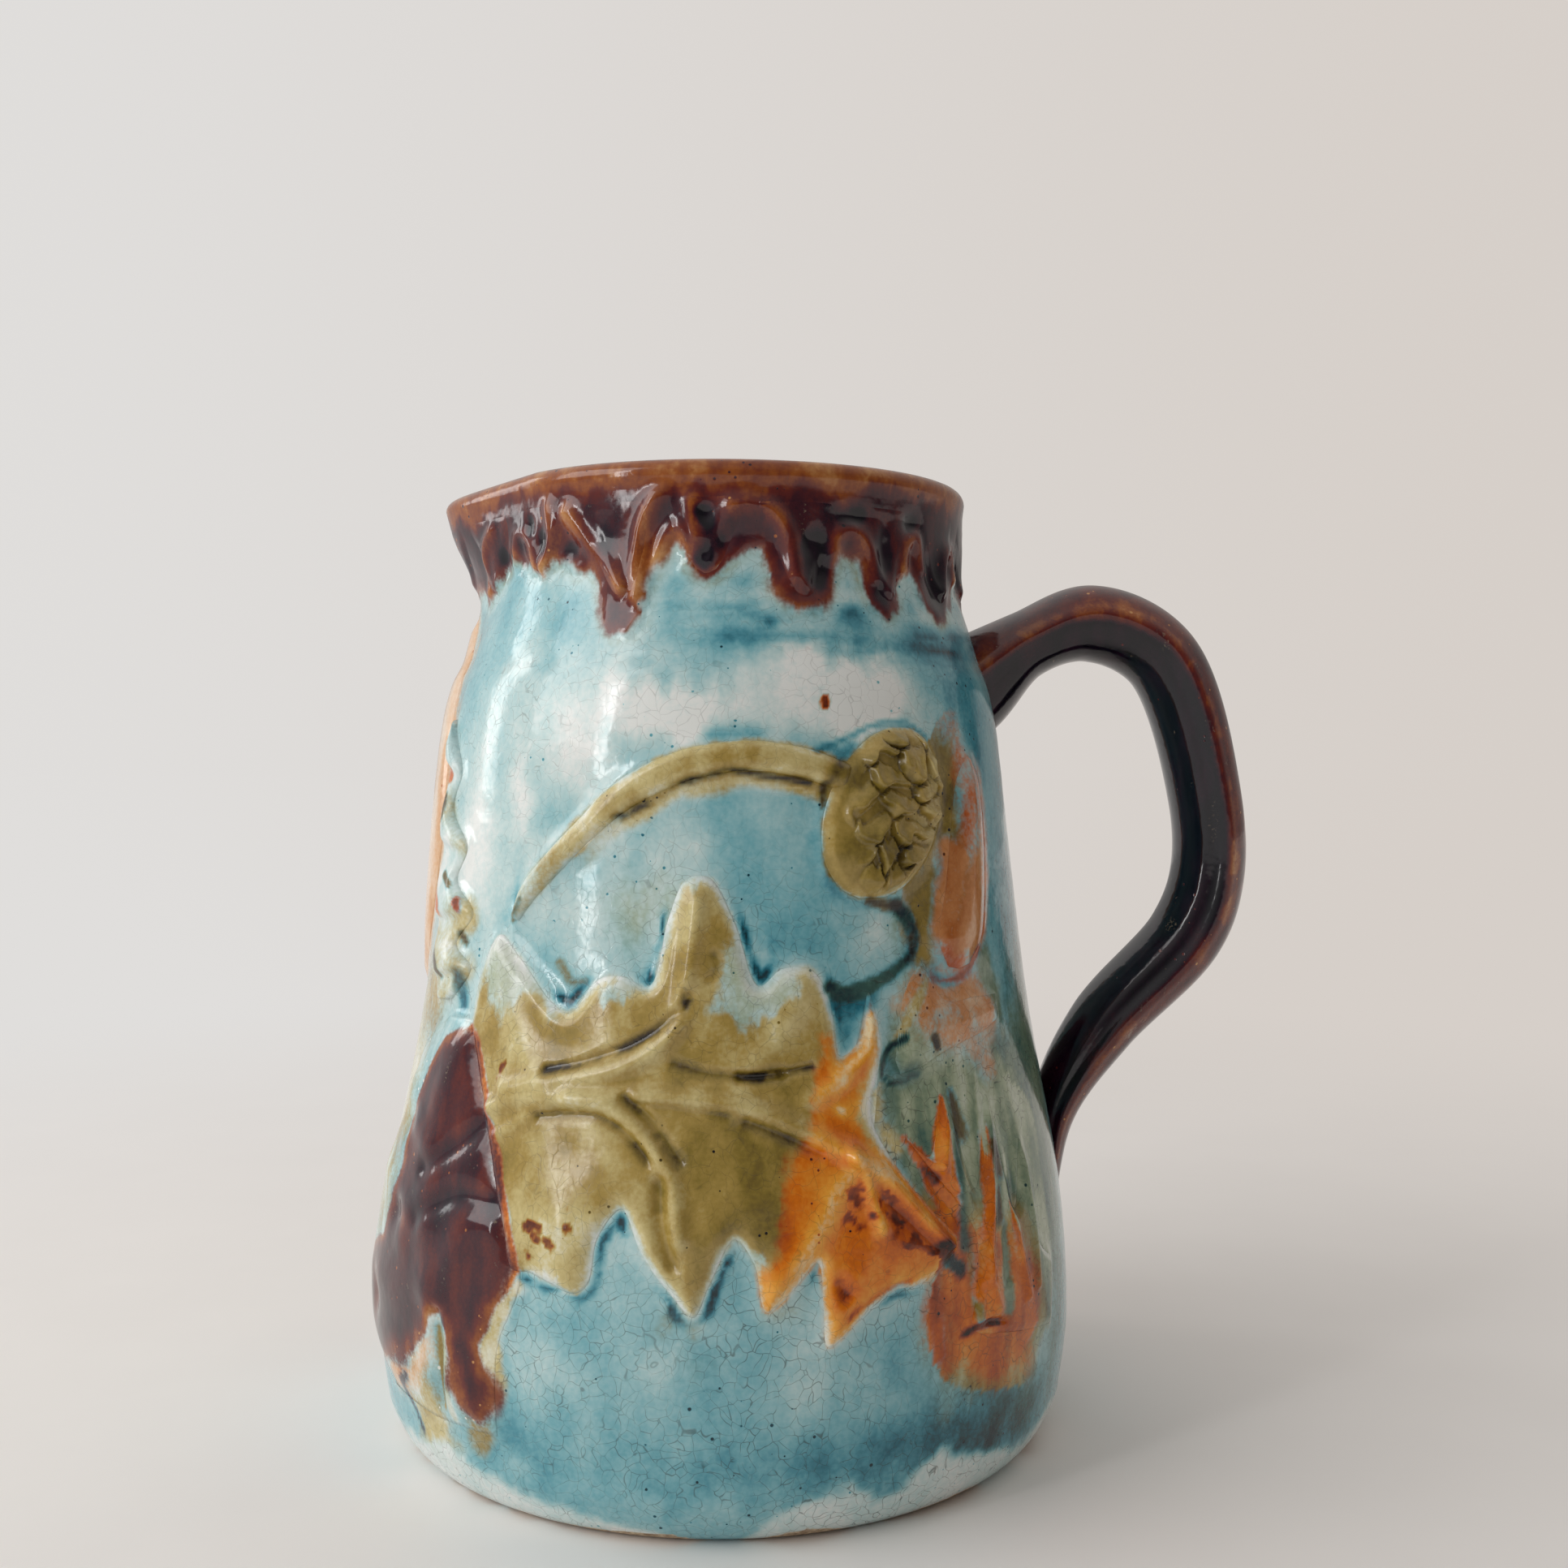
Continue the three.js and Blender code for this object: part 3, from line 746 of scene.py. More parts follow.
TURQUOISE_RAMP = GlazeRamp(Glaze.TURQUOISE, (
    (0.0, "e9ece9"), (0.2, "c3dad9"), (0.4, "98c4c9"), (0.55, "76b1bb"),
    (0.7, "4c94a4"), (0.85, "1f6a7c"), (1.0, "0c2f38")))
TREACLE_RAMP = GlazeRamp(Glaze.TREACLE, (
    (0.0, "c08a52"), (0.2, "94501f"), (0.42, "66251c"), (0.65, "40151f"), (0.85, "1e0b1c"),
    (1.0, "0a0612")))
OLIVE_RAMP = GlazeRamp(Glaze.OLIVE, (
    (0.0, "e6e4cc"), (0.2, "cdbe86"), (0.45, "a78d49"), (0.65, "84702f"), (0.85, "4f3f1b"),
    (1.0, "150f08")))
RUST_RAMP = GlazeRamp(Glaze.RUST, (
    (0.0, "f0dcb0"), (0.2, "eba53c"), (0.45, "d8720a"), (0.65, "b04c04"), (0.85, "6e2808"),
    (1.0, "220b07")))
PEACH_RAMP = GlazeRamp(Glaze.PEACH, (
    (0.0, "eeddca"), (0.3, "dbb189"), (0.5, "c98a56"), (0.75, "ab602a"), (1.0, "5a3014")))
SAGE_RAMP = GlazeRamp(Glaze.SAGE, (
    (0.0, "d3dacb"), (0.3, "abb69a"), (0.5, "7f9178"), (0.75, "44685f"), (1.0, "0e2b33")))
OVERGLAZES = (SAGE_RAMP, PEACH_RAMP, OLIVE_RAMP, RUST_RAMP, TREACLE_RAMP)


@dataclass(frozen=True)
class GlazeFinish:
    """How one glaze lies, crazes and shines."""

    glaze: Glaze
    flow_scale: float
    streak: float
    flow_amount: float
    raggedness: float
    craze_scale: float
    craze_amount: float
    speck_scale: float
    speck_share: float
    speck_amount: float
    roughness: float
    coat_weight: float


FINISHES = (
    GlazeFinish(Glaze.TURQUOISE, 150.0, 0.5, 0.16, 0.5, 470.0, 0.75, 900.0, 0.3, 0.5, 0.1, 0.1),
    GlazeFinish(Glaze.TREACLE, 260.0, 0.3, 0.3, 0.6, 420.0, 0.1, 800.0, 0.34, -0.45, 0.09, 0.1),
    GlazeFinish(Glaze.OLIVE, 190.0, 0.6, 0.26, 0.5, 480.0, 0.42, 1000.0, 0.14, 0.5, 0.17, 0.06),
    GlazeFinish(Glaze.RUST, 210.0, 0.6, 0.24, 0.6, 480.0, 0.5, 1000.0, 0.3, 0.5, 0.13, 0.1),
    GlazeFinish(Glaze.PEACH, 170.0, 0.4, 0.2, 0.6, 400.0, 0.3, 900.0, 0.2, 0.4, 0.1, 0.1),
    GlazeFinish(Glaze.SAGE, 190.0, 0.6, 0.26, 0.6, 480.0, 0.55, 900.0, 0.3, 0.5, 0.11, 0.1),
)


COLOUR_SOCKETS = ("Coat", "Tone", "Bare", "Color")
CLAY_DARK = "8a6a4c"
CLAY_PALE = "d9c3a4"
CRACK_COLOUR = "2a2a22"


class GlazeKitchen:
    """Mixes the shared shader groups and one material for each finish."""

    def __init__(self) -> None:
        """Build every group once."""
        self.flow = self.flow_group()
        self.crazing = self.crazing_group()
        self.specks = self.specks_group()
        self.ramps = {ramp.glaze: self.ramp_group(ramp) for ramp in (TURQUOISE_RAMP, *OVERGLAZES)}
        self.stack = self.stack_group()
        self.skin = self.skin_group()
        self.materials = {finish.glaze: self.material(finish) for finish in FINISHES}

    def group(self, name: str, inputs: Sequence[str], outputs: Sequence[str]) -> tuple:
        """Start a shader group.

        Args:
            name: Name of the group.
            inputs: Names of the input sockets.
            outputs: Names of the output sockets.

        Returns:
            The bench, the input node and the output node.
        """
        tree = bpy.data.node_groups.new(name, "ShaderNodeTree")
        for side, labels in (("INPUT", inputs), ("OUTPUT", outputs)):
            for label in labels:
                kind = "Color" if label in COLOUR_SOCKETS else "Float"
                tree.interface.new_socket(name=label, in_out=side, socket_type=f"NodeSocket{kind}")
        bench = NodeBench(tree)
        return bench, bench.node("NodeGroupInput"), bench.node("NodeGroupOutput")

    def flow_group(self) -> Tree:
        """Runny clouds of the glaze, drawn out down the wall."""
        bench, given, out = self.group("glaze_flow", ("Scale", "Streak"), ("Flow", "Grain"))
        place = bench.clay_place()
        drawn = bench.node("ShaderNodeCombineXYZ", None, X=1.0, Y=1.0, Z=given.outputs["Streak"]).outputs[0]
        cloud = bench.noise(bench.vector("MULTIPLY", place, drawn), given.outputs["Scale"], 4.0)
        bench.wire(bench.step(cloud.outputs["Fac"], 0.25, 0.75), out.inputs["Flow"])
        grain = bench.noise(place, bench.times(given.outputs["Scale"], 7.0), 3.0)
        bench.wire(bench.step(grain.outputs["Fac"], 0.25, 0.75), out.inputs["Grain"])
        return bench.tree

    def crazing_group(self) -> Tree:
        """Net of hairline cracks in the glaze, denser in some patches."""
        bench, given, out = self.group("glaze_crazing", ("Scale", "Width"), ("Lines",))
        place = bench.clay_place()
        warp = bench.noise(place, 140.0, 2.0).outputs["Color"]
        centred = bench.vector("SUBTRACT", warp, (0.5, 0.5, 0.5))
        shift = bench.vector("MULTIPLY", centred, (0.006, 0.006, 0.006))
        moved = bench.vector("ADD", place, shift)
        cells = bench.cells("DISTANCE_TO_EDGE", moved, given.outputs["Scale"])
        line = bench.step(cells.outputs["Distance"], given.outputs["Width"], 0.0)
        broken = bench.step(bench.noise(place, 420.0, 2.0).outputs["Fac"], 0.25, 0.55)
        patch = bench.step(bench.noise(place, 45.0, 2.0).outputs["Fac"], 0.2, 0.6)
        shown = bench.times(line, bench.times(broken, patch))
        bench.wire(shown, out.inputs["Lines"])
        return bench.tree

    def specks_group(self) -> Tree:
        """Scattered round specks where the glaze broke or pooled."""
        bench, given, out = self.group("glaze_specks", ("Scale", "Share"), ("Specks",))
        place = bench.clay_place()
        cells = bench.cells("F1", place, given.outputs["Scale"])
        chance = bench.parted(cells.outputs["Color"])
        size = bench.times(chance["Green"], 0.34)
        spot = bench.step(cells.outputs["Distance"], size, bench.times(size, 0.55))
        crowd = bench.step(bench.noise(place, 60.0, 3.0).outputs["Fac"], 0.42, 0.66)
        picked = bench.math("LESS_THAN", chance["Red"], bench.times(given.outputs["Share"], crowd))
        bench.wire(bench.times(spot, picked), out.inputs["Specks"])
        return bench.tree

    def ramp_group(self, ramp: GlazeRamp) -> Tree:
        """Colour of one glaze by its depth.

        Args:
            ramp: The glaze and its colours.

        Returns:
            The group, from Depth to Color.
        """
        bench, given, out = self.group(f"{ramp.glaze.value}_depth", ("Depth",), ("Color",))
        band = bench.node("ShaderNodeValToRGB", None, Fac=given.outputs["Depth"])
        colours = band.color_ramp.elements
        while len(colours) < len(ramp.stops):
            colours.new(0.5)
        for stop, (depth, code) in zip(colours, ramp.stops):
            stop.position = depth
            stop.color = linear(code)
        bench.wire(band.outputs["Color"], out.inputs["Color"])
        return bench.tree

    def stack_group(self) -> Tree:
        """All glazes one over another, each with a ragged edge that bleeds into the next."""
        inputs = ("Coat", "Peach", "Tone", "Flow", "Grain", "Specks",
                  "Flow Amount", "Raggedness", "Speck Amount")
        bench, given, out = self.group("glaze_stack", inputs, ("Color", "Depth"))
        take = given.outputs
        coat = bench.parted(take["Coat"])
        tone = bench.parted(take["Tone"])
        run = bench.math("SUBTRACT", take["Flow"], 0.5)
        fleck = bench.math("SUBTRACT", take["Grain"], 0.5)
        stir = bench.plus(bench.times(run, take["Flow Amount"]), bench.times(fleck, 0.09))
        spotted = bench.times(take["Specks"], take["Speck Amount"])
        depth = bench.plus(bench.plus(tone["Red"], stir), spotted, clamp=True)
        colour = self.use(bench, self.ramps[Glaze.TURQUOISE], Depth=depth).outputs["Color"]
        masks = {Glaze.SAGE: tone["Green"], Glaze.PEACH: take["Peach"], Glaze.OLIVE: coat["Green"],
                 Glaze.RUST: coat["Blue"], Glaze.TREACLE: coat["Red"]}
        ragged = bench.times(bench.plus(run, bench.times(fleck, 0.5)), take["Raggedness"])
        for ramp in OVERGLAZES:
            edge = bench.plus(masks[ramp.glaze], bench.times(ragged, self.bell(bench, masks[ramp.glaze])))
            over = self.use(bench, self.ramps[ramp.glaze], Depth=depth).outputs["Color"]
            colour = bench.mix(bench.step(edge, 0.04, 0.96), colour, over)
        clay = bench.mix(take["Grain"], linear(CLAY_DARK), linear(CLAY_PALE))
        bench.wire(bench.mix(bench.step(bench.plus(tone["Blue"], ragged), 0.3, 0.7), colour, clay),
                   out.inputs["Color"])
        bench.wire(depth, out.inputs["Depth"])
        return bench.tree

    def bell(self, bench: NodeBench, mask: Socket) -> Socket:
        """Weight that is highest where a mask is half and none where it is 0 or 1."""
        rest = bench.math("SUBTRACT", 1.0, mask)
        return bench.times(bench.times(mask, rest), 4.0)

    def skin_group(self) -> Tree:
        """Gloss and fine relief of the fired skin."""
        inputs = ("Gloss", "Lines", "Specks", "Grain", "Bare")
        bench, given, out = self.group("glaze_skin", inputs, ("Roughness", "Height"))
        take = given.outputs
        bare = bench.parted(take["Bare"])["Blue"]
        worn = bench.plus(bench.times(take["Lines"], 0.15), bench.times(bare, 0.5))
        sheen = bench.times(take["Grain"], 0.06)
        bench.wire(bench.plus(bench.plus(take["Gloss"], worn), sheen, clamp=True), out.inputs["Roughness"])
        peel = bench.noise(bench.clay_place(), 300.0, 2.0).outputs["Fac"]
        marks = bench.plus(bench.times(take["Lines"], -0.25), bench.times(take["Specks"], -0.3))
        bench.wire(bench.plus(peel, marks), out.inputs["Height"])
        return bench.tree

    def use(self, bench: NodeBench, tree: Tree, **sockets: Value) -> bpy.types.Node:
        """Node of a group in the tree of a bench, with underscores for spaces in its sockets."""
        return bench.node("ShaderNodeGroup", {"node_tree": tree}, **sockets)

    def material(self, finish: GlazeFinish) -> bpy.types.Material:
        """One fired finish over the shared groups.

        Args:
            finish: Values of the finish.

        Returns:
            The material.
        """
        made = bpy.data.materials.new(finish.glaze.value)
        made.use_nodes = True
        bench = NodeBench(made.node_tree)
        shader = made.node_tree.nodes["Principled BSDF"]
        coat = bench.node("ShaderNodeAttribute", {"attribute_name": "coat"}).outputs
        tone = bench.node("ShaderNodeAttribute", {"attribute_name": "tone"}).outputs
        flow = self.use(bench, self.flow, Scale=finish.flow_scale, Streak=finish.streak).outputs
        lines = self.use(bench, self.crazing, Scale=finish.craze_scale, Width=CRAZE_WIDTH).outputs["Lines"]
        specks = self.use(
            bench, self.specks, Scale=finish.speck_scale, Share=finish.speck_share).outputs["Specks"]
        stack = self.use(
            bench, self.stack, Coat=coat["Color"], Peach=coat["Alpha"], Tone=tone["Color"],
            Flow=flow["Flow"], Grain=flow["Grain"], Specks=specks, Flow_Amount=finish.flow_amount,
            Raggedness=finish.raggedness, Speck_Amount=finish.speck_amount)
        cracked = bench.times(lines, bench.times(tone["Alpha"], finish.craze_amount))
        colour = bench.mix(cracked, stack.outputs["Color"], linear(CRACK_COLOUR))
        bench.wire(colour, shader.inputs["Base Color"])
        skin = self.use(bench, self.skin, Gloss=finish.roughness, Lines=cracked, Specks=specks,
                        Grain=flow["Grain"], Bare=tone["Color"]).outputs
        bench.wire(skin["Roughness"], shader.inputs["Roughness"])
        bump = bench.node(
            "ShaderNodeBump", None, Strength=BUMP_STRENGTH, Distance=BUMP_DISTANCE, Height=skin["Height"])
        bench.wire(bump.outputs["Normal"], shader.inputs["Normal"])
        shader.inputs["IOR"].default_value = GLAZE_IOR
        shader.inputs["Coat Weight"].default_value = finish.coat_weight
        shader.inputs["Coat Roughness"].default_value = COAT_ROUGHNESS
        return made


@dataclass
class Workshop:
    """What every sub-assembly works with."""

    wall: Wall
    noise: ClayNoise
    kitchen: GlazeKitchen

    def set_down(self, mesh: ClayMesh, node: str, glaze: Glaze) -> None:
        """Make a piece that stands for a CAD node.

        Args:
            mesh: The clay with its glaze columns.
            node: Name of the node.
            glaze: The finish and material slot of the piece.
        """
        piece = mesh.fire(f"glazed_{node}")
        piece.data.materials.append(self.kitchen.materials[glaze])
        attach(piece, "root")
        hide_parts(node)
        log.info("%s: %d points, %s", piece.name, len(mesh.points), glaze.value)


@dataclass
class SprigGrid:
    """Fine grid over a sprig's outline."""

    turn: Array
    height: Array
    along: Array
    across: Array
    place: Array
    gap: Array


@dataclass
class Sprig:
    """An ornament that was pressed in a mould and stuck on the wall with slip."""

    shop: Workshop
    node: str
    glaze: Glaze
    stations: tuple[Station, ...]
    per_station: int = 12
    half_rows: int = 20
    edge: float = 1.3
    crown: float = 1.0
    roll: float = 1.5
    swell: float = 6.0
    veins: tuple[Vein, ...] = ()
    dimples: tuple[Dab, ...] = ()
    paired: bool = True
    crispness: float = 0.3

    def outline(self, count: int) -> Array:
        """Corners of the closed outline in order, as turns and heights."""
        shares = np.linspace(0.0, 1.0, count)
        left, right = (even_spline([s[line] for s in self.stations], shares) for line in (0, 2))
        ends = np.linspace(0.0, 1.0, 14, endpoint=False)[:, None]
        first, last = (np.array(self.stations[end], dtype=float) for end in (0, -1))
        top = [a + (b - a) * ends for a, b in ((last[0], last[1]), (last[1], last[2]))]
        bottom = [a + (b - a) * ends for a, b in ((first[2], first[1]), (first[1], first[0]))]
        return np.vstack([left[:-1], *top, right[:0:-1], *bottom])

    def outline_places(self) -> Array:
        """Points of the closed outline on the bare wall."""
        line = self.outline(40 * len(self.stations))
        return self.shop.wall.place(line[:, 0], line[:, 1], 0.0)

    def reach(self, spots: Spots) -> Array:
        """Distance of places from the outline, positive inside it and far below 0 away from it."""
        line = self.outline(14 * len(self.stations))
        low, high = line.min(axis=0) - BRUSH_REACH, line.max(axis=0) + BRUSH_REACH
        beside = (spots.turn > low[0]) & (spots.turn < high[0])
        near = beside & (spots.height > low[1]) & (spots.height < high[1])
        far = np.full(spots.turn.shape, -FAR)
        distance = nearest_distance(self.outline_places(), spots.place[near])
        far[near] = np.where(within(line, spots.turn[near], spots.height[near]), distance, -distance)
        return far

    def grid(self) -> SprigGrid:
        """Lay the fine grid between the edge curves and the middle curve."""
        last = len(self.stations) - 1
        shares = np.linspace(0.0, 1.0, last * self.per_station + 1)
        left, middle, right = (even_spline([s[line] for s in self.stations], shares) for line in range(3))
        across = np.linspace(-1.0, 1.0, 2 * self.half_rows + 1)[None, :, None]
        edge = np.where(across < 0.0, left[:, None, :], right[:, None, :])
        spread = middle[:, None, :] + (edge - middle[:, None, :]) * np.abs(across)
        turn, height = spread[..., 0], spread[..., 1]
        place = self.shop.wall.place(turn, height, 0.0)
        gap = nearest_distance(self.outline_places(), place)
        shape = turn.shape
        along = np.broadcast_to(shares[:, None] * last, shape)
        return SprigGrid(turn, height, along, np.broadcast_to(across[..., 0], shape), place, gap)

    def rolled(self, grid: SprigGrid) -> Array:
        """Thickness with a rolled edge that melts into the glaze on the wall."""
        share = unit(grid.gap / self.roll)
        crisp = self.crispness * np.sqrt(1.0 - (1.0 - share) ** 2)
        shoulder = crisp + (1.0 - self.crispness) * rise(0.0, 1.0, share)
        return FILLET - TUCK + (self.edge - FILLET + TUCK) * shoulder

    def relief(self, grid: SprigGrid) -> Array:
        """Height of the sprig off the wall at each point of its grid."""
        return self.rolled(grid) + self.crown * (1.0 - np.exp(-grid.gap / self.swell))

    def etched(self, place: Array) -> tuple[Array, Array, Array]:
        """Veins of the relief.

        Args:
            place: Points on the bare wall.

        Returns:
            Lift, how dark each point is, and how ribbed it is.
        """
        lift, dark, ribbed = (np.zeros(place.shape[:-1]) for _ in range(3))
        for vein in self.veins:
            near = fade(vein.distance(self.shop.wall, place), vein.width)
            lift = lift + vein.lift * near
            dark = np.maximum(dark, vein.dark * near)
            if vein.lift > 0.0:
                ribbed = np.maximum(ribbed, near)
        return lift, dark, ribbed

    def carved(self, grid: SprigGrid) -> Array:
        """Relief with the veins and dimples."""
        ribs, _, _ = self.etched(grid.place)
        hollow = dabbed(self.dimples, grid.turn, grid.height)
        return self.relief(grid) + (ribs + hollow) * rise(0.1, 1.6 + 0.6 * self.roll, grid.gap)

    def brush(self, coats: Coats, spots: Spots, inside: Array) -> None:
        """Lay the sprig's own glaze on it and on the wall beside it.

        Args:
            coats: Coats that are changed.
            spots: The places.
            inside: Distance inside the outline.
        """
        raise NotImplementedError

    def mesh(self, grid: SprigGrid, coats: Coats, lift: Array) -> ClayMesh:
        """Close the relief with a hidden back inside the wall.

        Args:
            grid: The sprig's grid.
            coats: Coats of its points.
            lift: How far its points stand off the wall.

        Returns:
            The closed mesh on the grid's side.
        """
        top = self.shop.wall.place(grid.turn, grid.height, lift)
        back = self.shop.wall.place(grid.turn, grid.height, np.minimum(lift, 0.0) - SPRIG_BACK)
        columns, rows = grid.turn.shape
        front = grid_quads(columns, rows, False)
        count = columns * rows
        border = np.concatenate([
            np.arange(rows), np.arange(1, columns) * rows + rows - 1,
            (columns - 1) * rows + np.arange(rows - 2, -1, -1), np.arange(columns - 2, 0, -1) * rows])
        following = np.roll(border, -1)
        sides = np.stack([border, following, following + count, border + count], axis=-1)
        quads = np.vstack([front, front[:, ::-1] + count, sides])
        points = np.vstack([top.reshape(-1, 3), back.reshape(-1, 3)])
        both = (np.vstack([column, column]) for column in coats.columns())
        return ClayMesh(points, quads, np.zeros((0, 3), int), *both)

    def build(self, brushwork: Brushwork) -> None:
        """Make the sprig, on both faces where it is one of a pair.

        Args:
            brushwork: The paint that it shares with the body.
        """
        grid = self.grid()
        for side in Side if self.paired else (Side.FRONT,):
            flip = np.array([1.0, -1.0 if side is Side.REAR else 1.0, 1.0])
            coats, _, _ = brushwork.paint(grid.turn, grid.height, grid.place * flip)
            mesh = self.mesh(grid, coats, self.carved(grid))
            mesh = mesh.mirrored() if side is Side.REAR else mesh
            self.shop.set_down(mesh, f"{side.value}_{self.node}" if self.paired else self.node, self.glaze)


def nearest_distance(targets: Array, places: Array) -> Array:
    """Distance of each place from the nearest target.

    Args:
        targets: Points to measure to.
        places: Points to measure from, in any shape.

    Returns:
        Distances in the shape of the places.
    """
    tree = KDTree(len(targets))
    for i, target in enumerate(targets.tolist()):
        tree.insert(target, i)
    tree.balance()
    flat = [tree.find(place)[2] for place in places.reshape(-1, 3).tolist()]
    return np.array(flat).reshape(places.shape[:-1])


LEAF_STATIONS: tuple[Station, ...] = (
    ((-39.4, 58), (-43.4, 67), (-48.4, 77)),
    ((-35.2, 48), (-40, 67.4), (-47, 86.4)),
    ((-32.6, 41.4), (-36.6, 68), (-43, 92.6)),
    ((-29.4, 41.8), (-32.4, 69), (-38, 89.6)),
    ((-26, 40.8), (-28.8, 70), (-30.6, 83)),
    ((-21.6, 39.6), (-25.4, 70.8), (-26.6, 81.2)),
    ((-19.6, 41.4), (-21.2, 71.5), (-21.6, 86.8)),
    ((-18.6, 48), (-17.6, 72.2), (-17.4, 87.4)),
    ((-15.2, 52.6), (-14, 72.8), (-12.8, 86)),
    ((-11.8, 46), (-11, 73), (-9.9, 96.4)),
    ((-7.4, 40.2), (-7.6, 73), (-7, 102.6)),
    ((-4.5, 37.2), (-4.6, 72.8), (-3, 102.9)),
    ((-2.3, 42), (-2, 72.6), (1.2, 96.2)),
    ((1.2, 48.6), (1.6, 72.2), (5.2, 86.2)),
    ((3.9, 45), (5, 71.4), (9, 88.7)),
    ((5.6, 37.8), (8.4, 70), (14, 88.6)),
    ((9, 40.4), (11, 68), (16.9, 84)),
    ((13, 44.6), (13.5, 66), (18.4, 75)),
    ((13.6, 38), (15.8, 64.4), (22, 77.4)),
    ((14.2, 32), (17.8, 63), (24, 84.6)),
    ((20, 36.6), (21, 60), (25.8, 76)),
    ((24.6, 39.2), (24.4, 56.6), (23, 66)),
    ((28.4, 39.4), (28, 52.4), (27, 57)),
    ((33, 41.4), (32.6, 46.6), (31.8, 50.6)),
    ((36, 43.4), (36.2, 44.4), (36.4, 45.4)),
)
LEAF_BORDER = Vein(
    ((-46, 77), (-43, 72.5), (-39.6, 65.5), (-36, 57.6), (-32.4, 48.5), (-31, 40.4)), 1.0, 0.0)
LEAF_VEINS = veins(
    (((-37, 69.2), (-31, 70.6), (-26, 71.6), (-17, 73.6), (-11.6, 76.4), (-7.8, 80.4), (-6, 90),
      (-5, 99)), 1.6, 1.1),
    (((-40, 65.4), (-34, 67.6), (-24, 69), (-15, 69.6), (-2, 69.2), (6, 67.2), (13.3, 63.6),
      (18.6, 60.6)), 1.6, 1.1),
    (((18.6, 60.6), (25.3, 55.4), (30, 49.6), (35, 44.6)), 1.5, 1.4),
    (((18.8, 60), (20.6, 57), (21.4, 53.6), (22.5, 49)), 1.1, 1.1),
    (((-24, 68.8), (-18, 68), (-13.6, 65.6), (-10, 61.8), (-7.6, 57), (-6.6, 49)), 1.5, 1.2),
    (((-38, 61), (-33, 64.4), (-28, 66.8)), 1.2, 0.5),
    (((13, 69), (18, 72), (22, 76), (24, 81)), 1.5, 0.6),
    (((-28, 70), (-36, 78), (-42, 92)), 2.2, 0.5),
    (((2, 72), (8, 79), (12, 86)), 2.2, 0.4),
    (((-30, 64), (-26, 54), (-23, 43)), 3.0, 0.2),
    (((18, 58), (13, 50), (7, 41)), 2.0, 0.5),
    (((-29, 72.6), (-24, 73.8), (-19.5, 75.4), (-15, 77.2), (-11, 79.6), (-8.2, 82)), 0.8, -0.7, 0.9),
    (((-7, 82.6), (-6, 85)), 1.0, -1.0, 1.0),
    (((2, 72.6), (5.5, 72.6), (8.4, 72.8)), 0.95, -1.2, 1.0),
    (((8.4, 72.9), (11, 73.4), (13.4, 73.8)), 0.55, -0.8, 0.85),
    (((-8, 74.6), (-3.4, 73.2), (1.4, 72.8)), 0.8, -0.6, 0.45),
    (((-29.5, 65.6), (-24, 66.3), (-19.5, 66.2), (-14.7, 63.6), (-11.4, 60)), 0.75, -0.8, 0.55),
    (((-15.3, 69.4), (-12.6, 67.2), (-9.7, 63.8), (-6.8, 60)), 0.9, -0.9, 0.6),
    (((-13, 68.6), (-6, 68), (0, 67)), 0.6, -0.5, 0.35),
    (((3, 66), (8.6, 63.6), (14, 60.8)), 0.8, -0.8, 0.6),
    (((-9.6, 57), (-9.4, 52), (-8.4, 48), (-7.4, 45)), 1.2, -1.0, 0.5),
    (((24, 52.6), (28, 48.8), (31.6, 45)), 0.9, -0.5, 0.25),
    (((16, 41.4), (16.8, 39.6)), 1.0, -0.8, 0.6),
    (((-2, 91), (-1.2, 89.6), (-2.6, 87.4)), 0.7, -0.3, 0.5),
    (((17.4, 36.4), (20.6, 38.4), (24, 40), (27, 40.4)), 0.6, -0.6, 0.9),
)
LEAF_DIMPLES = dabs(
    (-25, 60, 6, 5, -0.5), (-1, 61, 6, 6, -0.4), (7, 79, 7, 3, -0.4), (-28, 76.4, 7, 2.4, -0.4),
    (-22, 50, 5, 6, 0.4), (17, 50, 4, 6, -0.4), (-2, 48, 3, 7, 0.4),
)
LEAF_TONES = dabs(
    (-28, 50, 8, 9, -0.14), (-34, 66, 7, 8, -0.08), (-20, 58, 7, 8, -0.06), (2, 58, 9, 13, 0.15),
    (4, 49, 4, 7, 0.16), (7, 68, 6, 5, 0.1), (-4, 46, 5, 6, 0.08), (-5, 94, 3, 7, 0.04),
    (-16, 79, 6, 4, -0.05), (-36, 80, 6, 3, 0.06), (17, 69, 5, 5, -0.14), (18, 67.4, 1.2, 1.2, -0.3),
    (23.6, 68, 2.6, 5, -0.34), (20, 58, 4, 4, -0.06), (10, 51, 4, 6, -0.02), (26, 46, 6, 5, 0.02),
)
LEAF_SPOTS = dabs(
    (-29, 48.4, 2, 2, 0.9), (-26, 45.6, 2, 1.8, 0.9), (-22.8, 50.4, 1.4, 2.4, 0.6), (18.4, 52, 3, 4, 0.9),
    (23.6, 53, 1.8, 1.8, 0.9), (26.4, 50.4, 1.8, 1.8, 0.9), (29, 47.4, 1.8, 1.6, 1.0),
    (31.6, 45, 1.6, 1.8, 1.4), (-38.6, 71, 0.8, 1.4, 1.0),
)
